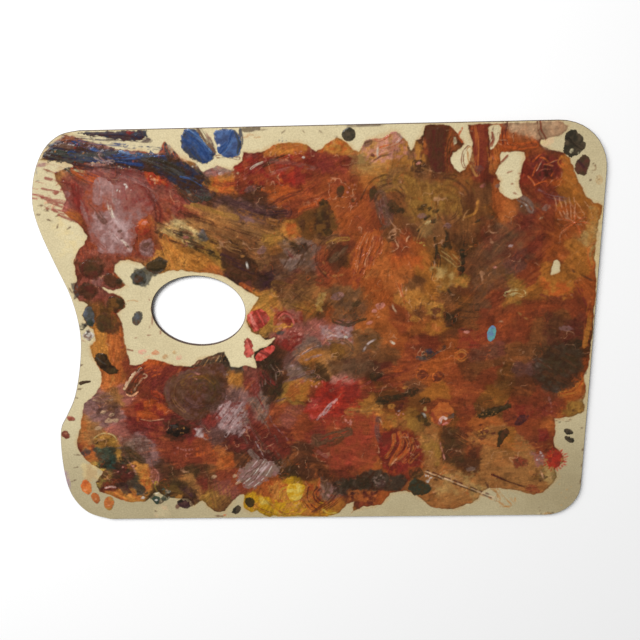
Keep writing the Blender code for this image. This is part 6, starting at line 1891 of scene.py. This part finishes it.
def paint_lower_dabs():
    """The dabs in the lower half and at the right edge."""
    make_dab("black_dab_left", "black", "dark_umber", 0.5, 2.0, 1.6,
        (dab, "slate", -112, -70, 3, 1.2, -10, 0.6), (specks, "tan", 5, -106, -74, 4, 3, 0.6, 217))
    hairs = []
    for shift, paint, cover, lift in (
            (-1, "pale_lilac", 0.6, 0.08), (1.5, "umber", 0.5, -0.08), (4, "white", 0.7, 0.1),
            (5.5, "grey_umber", 0.5, -0.08), (8, "pale_lilac", 0.6, 0.08), (9.4, "umber", 0.5, -0.08),
            (12, "white", 0.6, 0.08), (15, "dark_mauve", 0.4, -0.05)):
        points = [(-65 + shift, -119 - 0.3 * shift), (-56 + 1.1 * shift, -110 - 0.25 * shift),
            (-47 + 0.9 * shift, -99 - 0.2 * shift)]
        hairs.append((line, paint, 0.4, points, cover, lift))
    make_dab("lilac_brush_mark", "grey_lilac", "mauve", 0.25, 3.0, 4.0,
        (sweep, "lilac", "umber", 4.5, [(-62, -120), (-52, -112), (-42, -102)], 0.7, 0.6, 0.15),
        (sweep, "pale_lilac", "lilac", 1.6, [(-50, -113), (-46, -108), (-41, -103)], 0.8, 0.45, 0.15),
        *hairs)
    make_dab("olive_dab_lower", "green_black", "dark_green", 0.6, 1.0, 1.2,
        (area, "dark_green", "olive", [(68, -121), (84, -121), (82, -130), (70, -130)], 2, 0.7, 2, 0.1),
        (specks, "cream", 6, 81, -118, 3, 2, 0.8, 219))
    make_dab("red_dab_right", "brick", "orange_brown", 0.35, 1.3, 2.4,
        (area, "orange_brown", "burnt_orange", [(85, -54), (98, -54), (98, -60), (84, -60)], 2.5, 0.7, 2),
        (sweep, "white", "pink", 1.1, [(90, -70), (92, -66), (94.6, -66.6)], 0.95, 0.2, 0.3),
        (sweep, "pink", "rose", 1.2, [(93, -71), (95.6, -70), (98.6, -69.6)], 0.95, 0.2, 0.3),
        (area, "slate", "olive", [(95, -62), (102, -62), (102, -67), (96, -67)], 1.5, 0.8, 2),
        (sweep, "wine", "rust", 1.4, [(84, -62), (87, -67), (91, -72)], 0.8, 0.4, 0.15))
    flecks = []
    for paint, half, x, y in (
            ("grey_umber", 1.0, 184, -23), ("grey_umber", 0.8, 186, -19), ("olive_brown", 2.6, 172, -34),
            ("olive", 2.4, 182, -38), ("grey_lilac", 1.4, 166, -24), ("olive_brown", 1.8, 176, -16),
            ("dark_umber", 3.0, 172, -26), ("smoke", 2.0, 188, -32), ("umber", 2.0, 178, -44),
            ("maroon", 1.6, 164, -40)):
        flecks.append((sweep, paint, "umber", half, slant(x, y, 5, 0.6, -0.7), 0.7, 0.55, 0.12))
    make_dab("olive_blotch", "smoke", "dark_umber", 0.25, 3.6, 8.0,
        (area, "olive", "dark_umber", [(164, -12), (190, -12), (196, -30), (168, -38)], 8, 0.6, 5), *flecks)
    make_dab("yellow_pool", "yellow", "pale_yellow", 0.5, 0.8, 1.2,
        (dab, "pale_yellow", -17, -123, 2.4, 1.4, 20, 0.8),
        (line, "maroon", 0.6, [(-25, -122), (-22, -122.6), (-20, -124)], 0.8))
    make_dab("olive_bar", "green_black", "olive", 0.4, 1.0, 1.0,
        (specks, "tan", 14, 126, -63, 7, 2.4, 0.5, 221), (specks, "smoke", 9, 136, -59, 7, 2, 0.9, 223))
    make_dab("black_dab_tailed", "green_black", "umber", 0.45, 0.8, 0.8,
        (dab, "umber", 139, -79, 2.8, 1.6, 10, 0.7))
    make_dab("scarlet_splash", "scarlet", "crimson", 0.4, 1.6, 0.7,
        (specks, "orange", 9, 174, -101, 3, 5, 0.9, 225), (dab, "scarlet", 179, -101, 3.4, 2.6, 20, 0.8))
    make_dab("black_dab_bottom_upper", "green_black", "black", 0.5, 0.9, 0.8)
    make_dab("black_dab_bottom_lower", "black", "smoke", 0.45, 0.8, 0.7)
    make_dab("plum_dab_bottom", "plum", "black", 0.5, 0.9, 0.8,
        (dab, "dark_mauve", -108, -136, 2.6, 1.4, 20, 0.5))
    make_dab("green_dab_bottom", "green", "dark_green", 0.4, 0.9, 0.8, (dab, "white", -130, -133, 1.3, 0.9))
    make_dab("black_dab_right_upper", "black", "smoke", 0.35, 0.8, 0.5)
    make_dab("black_dab_right_lower", "black", "smoke", 0.3, 1.1, 0.5)


# ---------------------------------------------------------------- from the enamel up to the dabs

# The bare enamel, with the stain that the film's oil leaves around it.
edge = film_field()
paint_enamel()
halo = ease(1.0 + (edge + 1.5 * clouds(X, Y, 4, 521)) / 3.0)
lay(EVERYWHERE, 0.4 * halo * ease(0.5 + clouds(X, Y, 12, 523)), "stain")
for mark in (mark_enamel_left, mark_enamel_hole, mark_enamel_top, mark_enamel_right, mark_crossings):
    mark()

# The film's base colours, pulled along the brush's run, with a glaze and uneven pigment over them.
enamel_colour, enamel_rough, enamel_relief = colour.copy(), rough.copy(), relief.copy()
relief[...] = 0.0
ground(ZONES)
angle = brush_directions(RUNS)
fine = bristles(angle, reach=10, grain=1.5, seed=601)
coarse = bristles(angle, reach=18, grain=5.0, seed=605)
hair = bristles(angle, reach=5, grain=0.8, seed=609) * (0.5 + 0.7 * ease(0.5 - X / 160))
drag(angle, fine, length=1.4)
lay(EVERYWHERE, 0.35 * ease((X + 60) / 110) * ease(0.7 + 0.7 * clouds(X, Y, 22, 631)), "glaze")
patches = 0.45 * coarse + 0.5 * clouds(X, Y, 6, 611) + 0.25 * fine
lay(EVERYWHERE, 0.34 * ease(2.2 * patches), "dark_umber")
patches = 0.45 * clouds(X, Y, 4, 615) - 0.45 * coarse + 0.25 * fine
lay(EVERYWHERE, 0.25 * ease(2.2 * patches - 0.2), "orange_brown")
relief[...] += 0.06 * fine + 0.07 * coarse + 0.05 * hair + 0.06 * clouds(X, Y, 2.4, 621)

# The marks on the film, from the top left to the lower right, and then its flakes and veins.
for mark in (mark_smear, mark_crossings, mark_upper_left, mark_upper_middle, mark_upper_right,
             mark_wrinkles, mark_right, mark_middle_left, mark_middle, mark_middle_right,
             mark_right_edge, mark_lower_left, mark_lower_middle, mark_lower_right):
    mark()
for size, threshold, factor, lift in (
        (9, 0.25, 0.78, -0.05), (6, 0.3, 1.2, 0.05), (3, 0.35, 0.82, -0.04),
        (4.5, 0.35, 1.18, 0.05), (1.8, 0.4, 0.8, -0.03), (1.6, 0.42, 1.25, 0.04)):
    flake(size, 640 + int(10 * size), threshold, factor, lift)
# The glint and orange veins are painted highlights along raised folds; the dark umber ones, sunk, are painted
# shade in the creases.
veins("glint", size=7.0, seed=651, cover=0.4, lift=0.12)
veins("orange", size=5.0, seed=661, cover=0.45, lift=0.08)
veins("dark_umber", size=6.0, seed=671, cover=0.55, lift=-0.08)

# The darkened tone with its bristle marks, the dark line round the film, and the enamel beyond it.
colour[...] *= (DEPTH * np.exp(0.16 * fine + 0.22 * hair) * GRAIN)[..., None]
colour[...] *= (1 - 0.2 * np.exp(-((edge - 0.7) / 0.8) ** 2))[..., None]
film_share = ease(0.5 + edge / 0.8)
colour[...] = enamel_colour + (colour - enamel_colour) * film_share[..., None]
rough[...] = enamel_rough + (rough - enamel_rough) * film_share
relief[...] = enamel_relief + relief * film_share

# The pieces; surface is the height of what the next dab lies on.
build_enamel()
surface = build_film(edge)
colour[edge > 0] /= DAB_DEPTH
for paint_dabs in (paint_top_dabs, paint_left_dabs, paint_centre_dabs, paint_lower_dabs):
    paint_dabs()

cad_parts["hardboard_core"].data.materials.clear()
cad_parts["hardboard_core"].data.materials.append(hardboard_material())


# ---------------------------------------------------------------- stage, light and camera

FLOOR_HALF = 3.0  # metres
FLOOR_TONE = 0.86
SKY_STRENGTH = 0.22
SUN_PLACE, SUN_STRENGTH, SUN_SPREAD = (-0.45, 0.75, 1.0), 2.1, math.radians(30)
PANEL_PLACE, PANEL_WATTS, PANEL_WIDTH = (-0.65, 0.55, 0.8), 10.0, 0.6
LENS, SENSOR_WIDTH = 45.05, 36
CAMERA_PLACE = (0.01689, 0.18438, 0.5588)
CAMERA_TURN = (-17.2106, 1.5496, -1.3705)  # degrees


def build_stage():
    """A plain pale floor, soft studio light, and the camera above the palette."""
    mesh = bpy.data.meshes.new("floor")
    corners = [(x * FLOOR_HALF, y * FLOOR_HALF, 0) for x, y in ((-1, -1), (1, -1), (1, 1), (-1, 1))]
    mesh.from_pydata(corners, [], [(0, 1, 2, 3)])
    floor = bpy.data.objects.new("floor", mesh)
    bpy.context.scene.collection.objects.link(floor)
    made, _, shader = new_material("studio_floor")
    shader.inputs["Base Color"].default_value = (FLOOR_TONE, FLOOR_TONE, FLOOR_TONE, 1)
    shader.inputs["Roughness"].default_value = 0.9
    mesh.materials.append(made)
    world = bpy.data.worlds.new("studio")
    world.use_nodes = True
    world.node_tree.nodes["Background"].inputs["Color"].default_value = (1, 1, 1, 1)
    world.node_tree.nodes["Background"].inputs["Strength"].default_value = SKY_STRENGTH
    bpy.context.scene.world = world
    add_light("sky_panel", "SUN", SUN_PLACE, SUN_STRENGTH, SUN_SPREAD)
    add_light("key_panel", "AREA", PANEL_PLACE, PANEL_WATTS, PANEL_WIDTH)


def add_light(name, kind, place, energy, size):
    """A soft light that shines on the middle of the palette; size is metres, or radians for a sun."""
    lamp = bpy.data.lights.new(name, kind)
    lamp.energy = energy
    if kind == "SUN":
        lamp.angle = size
    else:
        lamp.size = size
    holder = bpy.data.objects.new(name, lamp)
    holder.location = place
    holder.rotation_euler = (-Vector(place)).to_track_quat("-Z", "Y").to_euler()
    bpy.context.scene.collection.objects.link(holder)


def build_camera():
    """The camera, nearly above the middle of the upper edge."""
    lens = bpy.data.cameras.new("camera")
    lens.lens = LENS
    lens.sensor_width = SENSOR_WIDTH
    camera = bpy.data.objects.new("camera", lens)
    camera.location = CAMERA_PLACE
    camera.rotation_mode = "ZXY"
    camera.rotation_euler = [math.radians(turn) for turn in CAMERA_TURN]
    bpy.context.scene.collection.objects.link(camera)
    bpy.context.scene.camera = camera


build_stage()
build_camera()
bpy.context.scene.view_settings.view_transform = "Standard"
